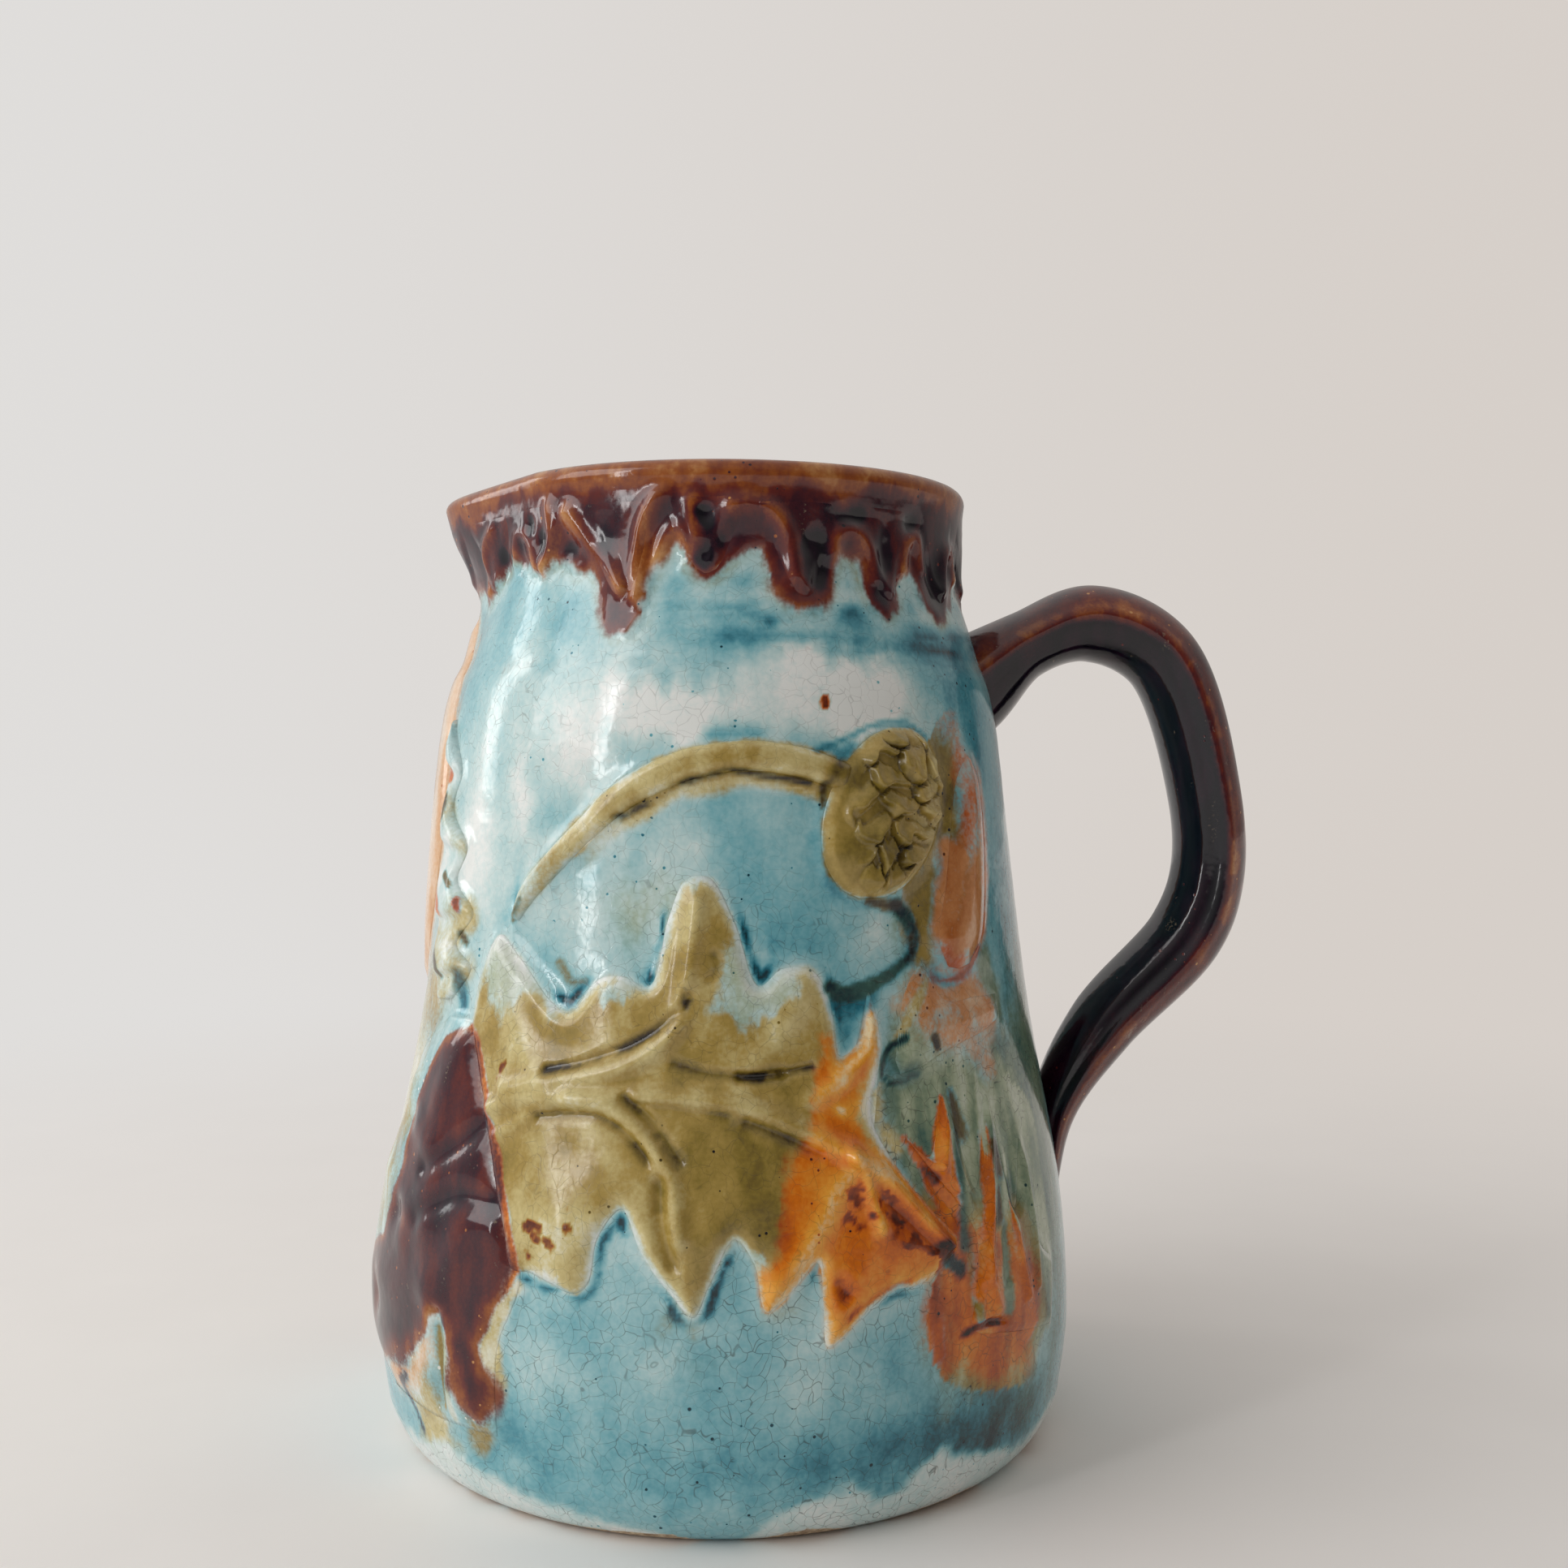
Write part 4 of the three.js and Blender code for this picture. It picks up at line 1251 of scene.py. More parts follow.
LEAF_PALES = dabs(
    (-42.6, 88, 4.6, 8, 1.1), (-36.6, 86.4, 4, 4, 1.0), (-31, 82.6, 4, 2.4, 0.8), (1.6, 89, 3, 6, 1.1),
    (4.6, 84, 4, 4, 1.0), (10, 86.4, 3, 3.6, 0.9), (16, 84, 1.6, 5, 0.8), (-17, 86, 4, 2, 0.8),
    (-7, 102, 3, 2.4, 0.7), (24.6, 67, 1.8, 4.6, 0.6), (-25, 41.6, 5, 1.4, 0.7), (3, 46, 2, 2, 0.8),
)
LEAF_POOLS = dabs(
    (-26.6, 84.6, 3.4, 2.2, 1.0), (-12.8, 86, 2, 2.6, 1.0), (-11.4, 94, 0.8, 2.6, 0.9),
    (5.4, 87, 2.6, 3, 1.0), (2, 93, 1.4, 4, 0.8), (17.6, 83, 2, 4, 0.9), (20, 73.4, 1.6, 2.4, 0.6),
    (-30.4, 38.4, 1.4, 4, 1.0), (-23, 40, 4, 1.4, 1.0), (-17.6, 46, 1.4, 5, 1.0),
    (-14.4, 52, 1.2, 2.6, 1.0), (-7, 38.6, 2.4, 3, 0.9), (-2, 40, 1.6, 5, 1.0), (0.4, 46, 0.8, 2.4, 0.8),
    (23, 38.6, 4, 2.4, 1.0), (12.6, 43.6, 1.2, 1.6, 0.5),
)
RUST_TIP = Patch((
    (22.4, 85), (22, 79), (20.4, 75.6), (18.6, 74.6), (17, 78), (15.4, 78), (14.4, 74), (13.6, 70),
    (12.6, 66.7), (11, 61.8), (8, 57), (7.4, 50), (7, 47), (4.8, 45), (3.4, 41), (4.6, 36), (9, 31),
    (24, 29), (40, 36), (40, 47), (31, 56), (26, 60.4), (22.4, 63), (20.8, 66), (20.8, 69.6), (22.8, 72),
    (26.6, 74.4), (25.8, 79), (26, 85)))


@dataclass
class VeinedLeaf(Sprig):
    """The broad lobed leaf, olive over most of it and rust at its tip."""

    def brush(self, coats: Coats, spots: Spots, inside: Array) -> None:
        """Lay olive and rust, thin at the edges with a painted highlight line on the very edge, with dark
        slits and teal pools in the notches.

        Args:
            coats: Coats that are changed.
            spots: The places.
            inside: Distance inside the outline.
        """
        _, dark, ribbed = self.etched(spots.place)
        turn, height = spots.turn + 1.2 * spots.fine, spots.height + 1.4 * spots.fine
        free = rise(1.0, 3.4, LEAF_BORDER.distance(self.shop.wall, spots.place))
        edge = inside + 0.45 * spots.fine
        coats.pool(0.5 * free * fade(inside + 0.6, 1.8), 0.2)
        coats.pool(unit(dabbed(LEAF_POOLS, turn, height)) * 1.5 * fade(edge + 1.2, 0.85), 0.98)
        cover = rise(-1.0, 1.3, edge + 0.3 * spots.middle)
        pales = rise(0.1, 1.0, dabbed(LEAF_PALES, turn, height + 3.0 * spots.streak) + 0.25 * spots.streak)
        tip = RUST_TIP.inside(self.shop.wall, spots)
        rusted = rise(-1.8, 1.8, tip + 1.3 * spots.middle + 0.9 * spots.fine)
        depth = 0.46 + 0.06 * spots.broad + 0.08 * spots.middle + 0.05 * spots.fine
        depth += dabbed(LEAF_TONES, turn, height)
        thin = free * (0.3 + 0.1 * spots.middle) * fade(inside - 0.3, 1.5)
        depth -= 0.15 * ribbed * (1.0 + 0.6 * rusted) + 0.12 * pales + thin
        coats.pool(rise(-0.4, 1.2, edge), depth)
        coats.lay("olive", cover * (1.0 - 0.92 * pales) * (1.0 - 0.35 * free * fade(inside, 1.0)))
        coats.lay("sage", 0.75 * cover * pales)
        coats.lay("rust", cover * rusted)
        # Near-white line on the very edge: partly glaze thinned off the edge, partly a painted highlight.
        coats.pool(0.7 * free * fade(inside - 0.2, 0.55), 0.08)
        grit = self.shop.noise.cloud(spots.place, 1.7, 6)
        crust = rise(0.25, 0.55, dabbed(LEAF_SPOTS, turn, height) * (0.5 + 0.9 * grit))
        coats.lay("rust", 0.7 * cover * crust)
        coats.pool(cover * crust, 0.84)
        coats.pool(dark * (0.4 + 0.7 * rise(-0.4, 0.1, spots.fine)) * rise(-0.2, 0.6, inside), 1.0)
        coats.craze += (0.8 - coats.craze) * cover


SIDE_LEAF_STATIONS: tuple[Station, ...] = (
    ((29.8, 60.4), (29.3, 61.2), (28.8, 62)),
    ((34.2, 54.6), (33.6, 56.4), (33, 58.2)),
    ((36.8, 51.4), (37.2, 58), (37.3, 67.4)),
    ((40.4, 44.8), (40.9, 48.2), (41.5, 52)),
    ((39.2, 36), (45, 46), (47.5, 66)),
    ((38.2, 30.6), (47, 40), (50.5, 47)),
    ((46, 28), (52, 38), (55.5, 57.4)),
    ((52, 26.6), (55, 34), (57.5, 40)),
    ((60.4, 25), (61.4, 30.4), (62, 36)),
)
SIDE_LEAF_VEINS = veins(
    (((30, 61), (34, 56.4), (38, 50), (41, 42), (43, 33)), 1.2, 0.7),
    (((34.6, 56), (36, 61), (36.8, 66)), 0.9, 0.9),
    (((41, 38), (43.6, 50), (45.4, 58), (46.8, 66)), 1.0, 1.0),
    (((50.8, 33), (49.2, 41), (49, 47)), 0.9, 0.9),
    (((54, 34), (54.6, 44), (55.2, 55)), 1.0, 0.8),
    (((38.6, 29.8), (41.4, 31), (44.6, 30.2)), 0.7, -0.9),
    (((46.4, 44), (46, 37)), 1.2, -0.6),
)
FLANK = Patch((
    (25.6, 63), (27, 70), (33, 70), (40, 78), (52, 80), (62, 74), (66, 50), (64, 30), (56, 17), (44, 16),
    (34, 22), (28.4, 27), (28.4, 38), (34, 44), (29, 55)))
FLAMES = Patch((
    (28.2, 29), (27, 38), (31, 46), (35, 52), (38, 46), (42, 47), (46, 44), (50, 45), (53, 35), (54, 26),
    (49, 19.6), (42, 22), (36, 24.6), (31, 24)))
SIDE_STROKES_AND_HIGHLIGHTS = strokes(
    (((38, 44), (37.6, 52), (38.8, 61)), 1.7, "sage", 0.9, 0.86, 0.4, 0.8),
    (((45.6, 32), (45.8, 39), (46.4, 45)), 1.3, "sage", 0.9, 0.62, 0.6, 0.8),
    (((39.4, 41), (39, 36), (39.4, 32)), 1.2, "olive", 0.9, 0.6, 0.6, 0.8),
    (((36, 47), (33.4, 54), (31.4, 58), (28.6, 61.4)), 2.2, "rust", 1.0, 0.56, 0.35, 0.4),
    (((35.6, 51), (35.2, 57), (35.8, 62), (36.7, 66.8)), 2.4, "rust", 1.0, 0.44, 0.2, 0.4),
    (((40, 37), (42, 45), (43.6, 52), (45.4, 61)), 2.0, "rust", 0.9, 0.42, 0.3, 0.6),
    (((52, 27), (50.4, 36), (49, 43), (48.8, 48.6)), 2.0, "rust", 0.95, 0.48, 0.3, 0.5),
    (((31, 43), (31.4, 36), (32, 28)), 1.6, "rust", 1.0, 0.66, 0.9, 0.6),
    # These two thin pale sage strokes are painted highlights along the ribs.
    (((46.4, 69), (45.4, 62), (44.8, 57)), 0.5, "sage", 0.9, 0.12, 0.8, 0.5),
    (((50.4, 56), (48.9, 47), (50, 41)), 0.5, "sage", 0.9, 0.14, 0.8, 0.5),
    (((40.2, 61), (39.9, 64), (39.4, 67)), 1.6, "olive", 0.9, 0.94, 0.6, 0.8),
    (((47, 54), (46.4, 58)), 1.5, "olive", 0.9, 0.94, 0.7, 0.8),
    (((44.8, 46.6), (46, 51.4)), 1.2, "olive", 0.9, 0.92, 0.5, 0.8),
    (((25.4, 75), (24.2, 69), (24.8, 64), (27.4, 60)), 1.7, "olive", 0.8, 0.14, 0.8, 0.9),
    (((33, 44.8), (34.6, 42.6), (36.6, 40)), 1.7, "rust", 1.0, 0.95, 0.9, 0.5),
    (((34.4, 42), (36.6, 40.4)), 1.2, "sage", 1.0, 0.98, 0.9, 0.6),
    (((33.6, 54.6), (31.4, 56.6)), 0.9, "rust", 1.0, 0.9, 0.6, 0.5),
    (((49.6, 51.4), (49.2, 47)), 0.7, "sage", 1.0, 0.97, 0.7, 0.5),
    (((36.4, 30), (40, 31), (43.6, 30.4)), 0.75, "rust", 1.0, 1.0, 0.9, 0.5),
)


@dataclass
class SideLeaf(Sprig):
    """The spiky leaf towards the handle, rust along its ribs."""

    def brush(self, coats: Coats, spots: Spots, inside: Array) -> None:
        """Lay sage over the flank, then rust and dark strokes along the ribs and pits, and pale strokes
        that paint highlights along two ribs.

        Args:
            coats: Coats that are changed.
            spots: The places.
            inside: Distance inside the outline.
        """
        _, _, ribbed = self.etched(spots.place)
        wall = self.shop.wall
        flank = rise(-1.5, 2.5, FLANK.inside(wall, spots) + 1.5 * spots.middle)
        cover = np.maximum(rise(-3.0, 1.0, inside), flank)
        coats.wipe(cover, "peach")
        coats.pool(cover, 0.46 + 0.2 * spots.middle + 0.2 * spots.streak - 0.16 * ribbed)
        coats.lay("sage", 0.95 * cover)
        flame = FLAMES.inside(wall, spots) + 1.6 * spots.middle + 0.8 * spots.streak
        coats.lay("olive", 0.75 * rise(-5.5, -0.8, flame))
        burnt = rise(-2.8, 2.2, flame)
        coats.lay("rust", (0.85 - 0.3 * unit(spots.streak)) * burnt)
        coats.pool(burnt, 0.52 + 0.14 * spots.streak + 0.1 * spots.middle)
        for stroke in SIDE_STROKES_AND_HIGHLIGHTS:
            stroke.lay(coats, spots, wall)
        coats.craze += (0.9 - coats.craze) * cover


SPOUT_LEAF_STATIONS: tuple[Station, ...] = (
    ((-56, 78), (-51, 78.4), (-45, 78)),
    ((-67, 70), (-55, 70.4), (-42.4, 71.4)),
    ((-71, 61), (-52, 62), (-38.4, 63.6)),
    ((-77, 51), (-51, 53.4), (-34.6, 54.6)),
    ((-79, 43.6), (-50, 45), (-31.4, 46.2)),
    ((-83, 32), (-49, 37.4), (-30.6, 39.4)),
    ((-80, 22), (-48, 28), (-34, 29)),
    ((-62, 15), (-48, 14.4), (-34.4, 15)),
)
SPOUT_LEAF_VEINS = veins(
    (((-50, 76), (-52, 62), (-50, 45), (-46, 33)), 3.6, 0.4),
    (((-52, 57), (-60, 61), (-66, 66)), 2.6, 0.4),
    (((-51, 46), (-61, 47.6), (-70, 50)), 2.8, 0.4),
    (((-49, 36), (-61, 33), (-72, 32)), 3.0, 0.4),
    (((-46, 35), (-40, 46.5), (-36, 48)), 3.6, 0.6),
    (((-40, 63.4), (-46, 58.4), (-53, 54)), 1.8, -0.7, 0.6),
    (((-36, 51), (-44, 51), (-53, 46)), 1.9, -0.7, 0.6),
    (((-45.4, 32.4), (-45, 27.6), (-45.4, 18)), 1.4, -1.1),
)
SPOUT_LEAF_DIMPLES = dabs(
    (-61.5, 61, 2.4, 2.8, -0.8), (-61, 45.5, 2.4, 2.8, -0.8), (-70, 29, 3.0, 4.0, -0.9),
    (-62.6, 56, 2.4, 2.0, 0.4), (-57, 41, 3, 2.4, 0.3), (-52, 25, 4, 4, -0.3),
)
TREACLE_RUN = Patch((
    (-48, 77.6), (-45.4, 76.5), (-43, 72.5), (-41.4, 69), (-39.6, 65.5), (-38, 61.7), (-36, 57.6),
    (-34, 53), (-32.4, 48.5), (-31.2, 44.8), (-30.8, 41.5), (-31.5, 39.4), (-33.5, 36.7), (-35, 34),
    (-36, 31.4), (-36.8, 29.3), (-36, 26.5), (-34.3, 24.3), (-33.4, 22), (-34.4, 18.6), (-37.6, 17),
    (-41, 18.4), (-42.4, 22.6), (-42.6, 26.8), (-43, 30), (-44.7, 32.5), (-46.7, 31.2), (-48, 28.6),
    (-50.5, 25.8), (-54, 23), (-59, 21), (-64, 18), (-72, 16.6), (-78, 18.4), (-82, 23.4), (-81.6, 28),
    (-78.4, 33), (-72, 37), (-66, 40), (-64, 45), (-62, 50), (-61, 55), (-62, 60), (-59.5, 65), (-58, 70),
    (-54.5, 75)))
# Thin amber treacle; the dab at turn -57, height 44.4 is a painted orange reflection in a hollow.
SPOUT_AMBER_AND_REFLECTION = dabs(
    (-45.6, 60.4, 4, 3, 0.22), (-40.4, 52.4, 4.4, 1.8, 0.26), (-57, 44.4, 1.6, 2.4, 0.4),
    (-43, 69, 2, 5, 0.16), (-71, 27, 1.8, 4, 0.36), (-34.4, 42, 1.8, 5, 0.16), (-38, 41, 5, 5, 0.06),
)
SPOUT_STROKES = strokes(
    (((-32, 39), (-34.4, 33), (-35.4, 28), (-34, 22)), 1.8, "olive", 0.95, 0.12, 1.0, 0.7),
    (((-49, 27), (-50.4, 20), (-50, 12), (-48.6, 4)), 5.6, "olive", 0.9, 0.25, 0.9, 0.8),
    (((-47, 30), (-49, 24), (-53, 20), (-59, 18)), 3.0, "peach", 0.8, 0.26, 1.0, 0.9),
    (((-54.4, 19.4), (-57, 17), (-55, 13), (-53.4, 10)), 0.9, "treacle", 0.8, 0.85, 0.6, 0.8),
    (((-45.4, 30), (-45, 24), (-44.6, 17)), 0.9, "olive", 0.9, 0.6, 0.7, 0.7),
    (((-43.6, 29), (-43.2, 23), (-42.8, 16)), 0.9, "sage", 0.9, 0.16, 0.9, 0.7),
    (((-38, 20), (-38, 16), (-38.4, 13.4)), 3.4, "olive", 0.7, 0.5, 0.7, 1.0),
)


@dataclass
class SpoutLeaf(Sprig):
    """The curled leaf under the spout in thick treacle glaze."""

    def brush(self, coats: Coats, spots: Spots, inside: Array) -> None:
        """Lay treacle that thins to amber at its edges and runs down to the foot.

        Args:
            coats: Coats that are changed.
            spots: The places.
            inside: Distance inside the outline.
        """
        wall = self.shop.wall
        for stroke in SPOUT_STROKES:
            stroke.lay(coats, spots, wall)
        _, dark, ribbed = self.etched(spots.place)
        drip = rise(30.0, 20.0, spots.height)
        run = TREACLE_RUN.inside(wall, spots) + (0.4 + 0.3 * drip) * spots.fine + 0.5 * drip * spots.streak
        cover = rise(-0.8 - 1.6 * drip, 0.6 + 0.8 * drip, run)
        fringe = fade(run - 0.3, 1.6 + 0.9 * rise(0.0, 0.6, spots.middle) + drip)
        border = rise(5.0, 1.5, LEAF_BORDER.distance(wall, spots.place))
        depth = 0.68 + 0.08 * spots.broad + 0.06 * spots.middle + 0.03 * spots.fine - 0.04 * ribbed
        # Thins the treacle to amber at the edges and in the dabs, one of which is a painted reflection.
        depth -= 0.42 * fringe + dabbed(SPOUT_AMBER_AND_REFLECTION, spots.turn, spots.height)
        coats.wipe(cover, "olive", "rust", "peach", "sage")
        coats.pool(cover, depth)
        coats.lay("treacle", cover * (1.0 - 0.5 * fringe * border))
        coats.lay("rust", cover * fringe * border)
        coats.pool(0.7 * cover * fringe * border, 0.62)
        coats.pool(dark * cover, 0.93)
        coats.pool(cover * fade(spots.turn + 44.4, 1.0) * fade(spots.height - 31, 1.6), 0.95)
        coats.craze *= 1.0 - 0.8 * cover


FROND_STATIONS: tuple[Station, ...] = (
    ((-71, 128), (-70.4, 127), (-69.8, 126)),
    ((-70, 121), (-67, 120), (-62.5, 118.6)),
    ((-69.2, 113.6), (-67.4, 113.4), (-65.4, 113)),
    ((-69, 107), (-63.6, 106.6), (-56, 106)),
    ((-68, 100.6), (-63.6, 100.6), (-59, 100.6)),
    ((-67, 94), (-60.4, 94.6), (-51.4, 95.4)),
    ((-65.6, 89), (-61.2, 89.6), (-56.6, 90)),
    ((-64, 84), (-58.4, 85), (-50.6, 86.4)),
    ((-61.6, 80.4), (-58.6, 80.6), (-55.6, 81)),
)
FROND_STROKES = strokes(
    (((-66, 97.4), (-63.6, 96)), 1.5, "rust", 0.9, 0.6),
    (((-69, 119.6), (-67, 118.4)), 1.2, "rust", 0.9, 0.66),
    (((-68.6, 110), (-67, 108)), 1.0, "rust", 0.9, 0.8),
    (((-64, 88), (-61.4, 86.4), (-60, 84.6)), 1.0, "olive", 0.9, 0.9),
    (((-67.4, 114.6), (-66.6, 111)), 0.7, "olive", 0.9, 0.9),
    (((-62.6, 101.4), (-60, 99.6)), 0.7, "olive", 0.9, 0.85),
    (((-53.6, 84.6), (-52, 80.4)), 1.6, "", 0.9, 0.9, 0.8, 0.8),
    (((-54.8, 91.6), (-53.2, 90.4)), 1.0, "olive", 0.9, 0.93),
    (((-56, 97.2), (-54.4, 96)), 0.9, "rust", 0.9, 0.8),
)


@dataclass
class Frond(Sprig):
    """The toothed strip beside the spout."""

    def relief(self, grid: SprigGrid) -> Array:
        """Folded teeth one above another, each leaning down."""
        tooth = (grid.along + 0.8) % 2.0 / 2.0
        bulge = np.sqrt(unit(1.0 - grid.across**2))
        folded = 0.2 + 0.8 * rise(0.0, 0.7, tooth) * rise(1.0, 0.8, tooth)
        return self.rolled(grid) + self.crown * bulge * folded

    def brush(self, coats: Coats, spots: Spots, inside: Array) -> None:
        """Lay thin celadon and olive, with brown specks in the folds.

        Args:
            coats: Coats that are changed.
            spots: The places.
            inside: Distance inside the outline.
        """
        cover = rise(-3.0, 1.4, inside + 1.4 * spots.middle)
        coats.pool(cover, 0.2 + 0.14 * spots.middle + 0.1 * spots.fine)
        coats.lay("olive", cover * unit(0.45 + 0.7 * spots.middle))
        middle = np.interp(spots.height, (80, 128), (-62, -69))
        coats.lay("peach", 0.8 * cover * rise(2.0, -5.0, spots.turn - middle))
        for stroke in FROND_STROKES:
            stroke.lay(coats, spots, self.shop.wall)


STEM_PATH: tuple[Pair, ...] = (
    (-39.4, 95.6), (-37.2, 99.4), (-32, 104.6), (-25.6, 110.2), (-19, 115.4), (-9, 120), (2, 122),
    (13, 121), (22, 118.4))
STEM_HALVES = (0.9, 1.7, 2.0, 2.0, 2.4, 2.5, 2.4, 2.4, 2.3)
STEM_TIE = Vein(((-39.8, 96.4), (-39.6, 92.6), (-36, 89.4), (-32, 86.6), (-29.4, 84)), 0.7, 0.35)
STEM_CRACK = Vein(
    ((-19.6, 112), (-15, 114), (-12, 115.4), (-9, 117), (-5.6, 118.4), (-2, 119.2), (2, 119.5),
     (6, 118.9), (10, 118.4), (14, 117.8), (16.6, 116.6)), 0.75, -0.6)


def strip_stations(wall: Wall, path: Sequence[Pair], halves: Sequence[float]) -> tuple[Station, ...]:
    """Stations of a strip along a path.

    Args:
        wall: The wall that carries the strip.
        path: Middle of the strip as turns and heights.
        halves: Half its width in millimetres at each point.

    Returns:
        The stations.
    """
    shares = np.linspace(0.0, 1.0, len(path))
    step = 0.001
    ways = even_spline(path, unit(shares + step)) - even_spline(path, unit(shares - step))
    stations = []
    for point, way, half in zip(path, ways, halves):
        degree = math.radians(float(wall.radius(np.array(point[1]))))
        run = math.hypot(way[0] * degree, way[1])
        turn, up = -way[1] / run * half / degree, way[0] * degree / run * half
        stations.append(((point[0] - turn, point[1] - up), point, (point[0] + turn, point[1] + up)))
    return tuple(stations)


@dataclass
class Stem(Sprig):
    """The arched stem that carries the bud."""

    def relief(self, grid: SprigGrid) -> Array:
        """Half-round strip."""
        bulge = np.sqrt(unit(1.0 - grid.across**2))
        return self.rolled(grid) + self.crown * bulge

    def brush(self, coats: Coats, spots: Spots, inside: Array) -> None:
        """Lay olive with a thin band below it and a broken dark crack between the two.

        Args:
            coats: Coats that are changed.
            spots: The places.
            inside: Distance inside the outline.
        """
        crack = STEM_CRACK.distance(self.shop.wall, spots.place)
        centre = even_spline(STEM_PATH, np.linspace(0.0, 1.0, 120))
        below = rise(0.0, -2.0, spots.height - np.interp(spots.turn, centre[:, 0], centre[:, 1]))
        right = rise(-30.0, -16.0, spots.turn)
        halo = fade(inside + 1.2, 1.2) * rise(-0.2, 0.4, spots.middle)
        coats.pool(0.6 * right * (1.0 - below) * halo, 0.8)
        skirt = below * right * rise(-4.2, -1.6, inside + 0.8 * spots.middle + 0.5 * spots.fine)
        cover = rise(-0.9, 0.8, inside + 0.5 * spots.fine) * (0.5 + 0.5 * rise(-39.0, -22.0, spots.turn))
        depth = 0.33 + 0.12 * spots.middle + 0.08 * spots.fine - 0.14 * fade(inside - 0.2, 0.9)
        coats.pool(skirt, 0.2 + 0.12 * spots.middle)
        coats.pool(cover, depth)
        coats.lay("olive", np.maximum(0.85 * skirt, cover))
        broken = rise(-0.45, 0.1, spots.fine + 0.5 * spots.middle)
        coats.pool(fade(crack, STEM_CRACK.width) * (0.35 + 0.65 * broken), 1.0)
        coats.craze += (0.7 - coats.craze) * cover


BUD_CENTRE = (29.4, 113.0)
BUD_HALF_TURN = 12.4
BUD_HALF_HEIGHT = 13.9
BUD_LEAN = 4.0
BUD_BLUNTNESS = 0.98


def bud_stations() -> tuple[Station, ...]:
    """Stations of an egg shape whose upper end leans towards the handle."""
    stations = []
    for row in range(7):
        up = BUD_BLUNTNESS * math.sin(math.pi * (row / 6.0 - 0.5))
        half = BUD_HALF_TURN * math.sqrt(1.0 - up * up)
        middle = BUD_CENTRE[0] + BUD_LEAN * up
        z = BUD_CENTRE[1] + BUD_HALF_HEIGHT * up
        stations.append(((middle - half, z), (middle, z), (middle + half, z)))
    return tuple(stations)


@dataclass
class Bud(Sprig):
    """The scaled bud at the end of the stem."""

    scale_rows: float = 3.3
    scale_columns: float = 3.2
    scale_lift: float = 2.2

    def scales(self, turn: Array, height: Array, place: Array) -> tuple[Array, Array]:
        """Uneven overlapping scales that point down, on all but the smooth left side.

        Args:
            turn: Turns of the places.
            height: Heights of the places.
            place: The places.

        Returns:
            Lift and crevice of the scales, each from 0 to 1.
        """
        noise = self.shop.noise
        up = (height - BUD_CENTRE[1] + 2.4 * noise.cloud(place, 7.0, 21)) / BUD_HALF_HEIGHT
        side = (turn - BUD_CENTRE[0] - BUD_LEAN * up + 3.4 * noise.cloud(place, 7.0, 22)) / BUD_HALF_TURN
        spread = side / np.sqrt(np.clip(1.15 - up * up, 0.15, 1.0))
        lift = np.zeros_like(up)
        crevice = np.zeros_like(up)
        for lap in range(-5, 6):
            foot = lap / self.scale_rows - 0.16
            column = spread * self.scale_columns / 2.0 + 0.5 * (lap % 2)
            offset = np.abs(column - np.round(column)) * 2.0
            rung = (up - foot - 0.26 * offset**1.7) * self.scale_rows
            owner = (rung > 0.0) & (rung < 1.2)
            domed = np.sqrt(unit(1.0 - 0.9 * offset**2)) * rise(0.0, 0.4, rung)
            lift = np.where(owner, domed * (1.0 - 0.85 * unit((rung - 0.3) / 1.1)), lift)
            crevice = np.where(owner, rise(0.34, 0.0, rung), crevice)
        scaled = rise(-0.72, -0.36, side + 0.25 * up)
        return lift * scaled, crevice * scaled

    def relief(self, grid: SprigGrid) -> Array:
        """Egg-shaped dome covered in scales."""
        dome = 1.0 - np.exp(-grid.gap / 4.2)
        lift, _ = self.scales(grid.turn, grid.height, grid.place)
        return self.rolled(grid) + self.crown * dome + self.scale_lift * lift * rise(0.5, 3.0, grid.gap)

    def brush(self, coats: Coats, spots: Spots, inside: Array) -> None:
        """Lay khaki olive that pools between the scales.

        Args:
            coats: Coats that are changed.
            spots: The places.
            inside: Distance inside the outline.
        """
        _, crevice = self.scales(spots.turn, spots.height, spots.place)
        coats.pool(0.8 * fade(inside + 1.0, 1.1) * rise(-0.3, 0.3, spots.middle + 0.2), 0.86)
        cover = rise(-0.8, 0.8, inside + 0.4 * spots.fine)
        right = rise(-4.0, 9.0, spots.turn - BUD_CENTRE[0] - 0.3 * (spots.height - BUD_CENTRE[1]))
        depth = 0.62 + 0.08 * spots.middle + 0.06 * spots.fine - 0.14 * fade(inside - 0.6, 1.2)
        coats.pool(cover, depth - 0.16 * right)
        coats.lay("olive", cover)
        coats.pool(cover * crevice * rise(0.4, 2.0, inside) * (0.35 + 0.2 * right + 0.5 * spots.fine), 0.95)
        coats.lay("sage", 0.9 * cover)
        coats.olive -= 0.4 * cover * right * rise(-0.2, 0.5, spots.middle)


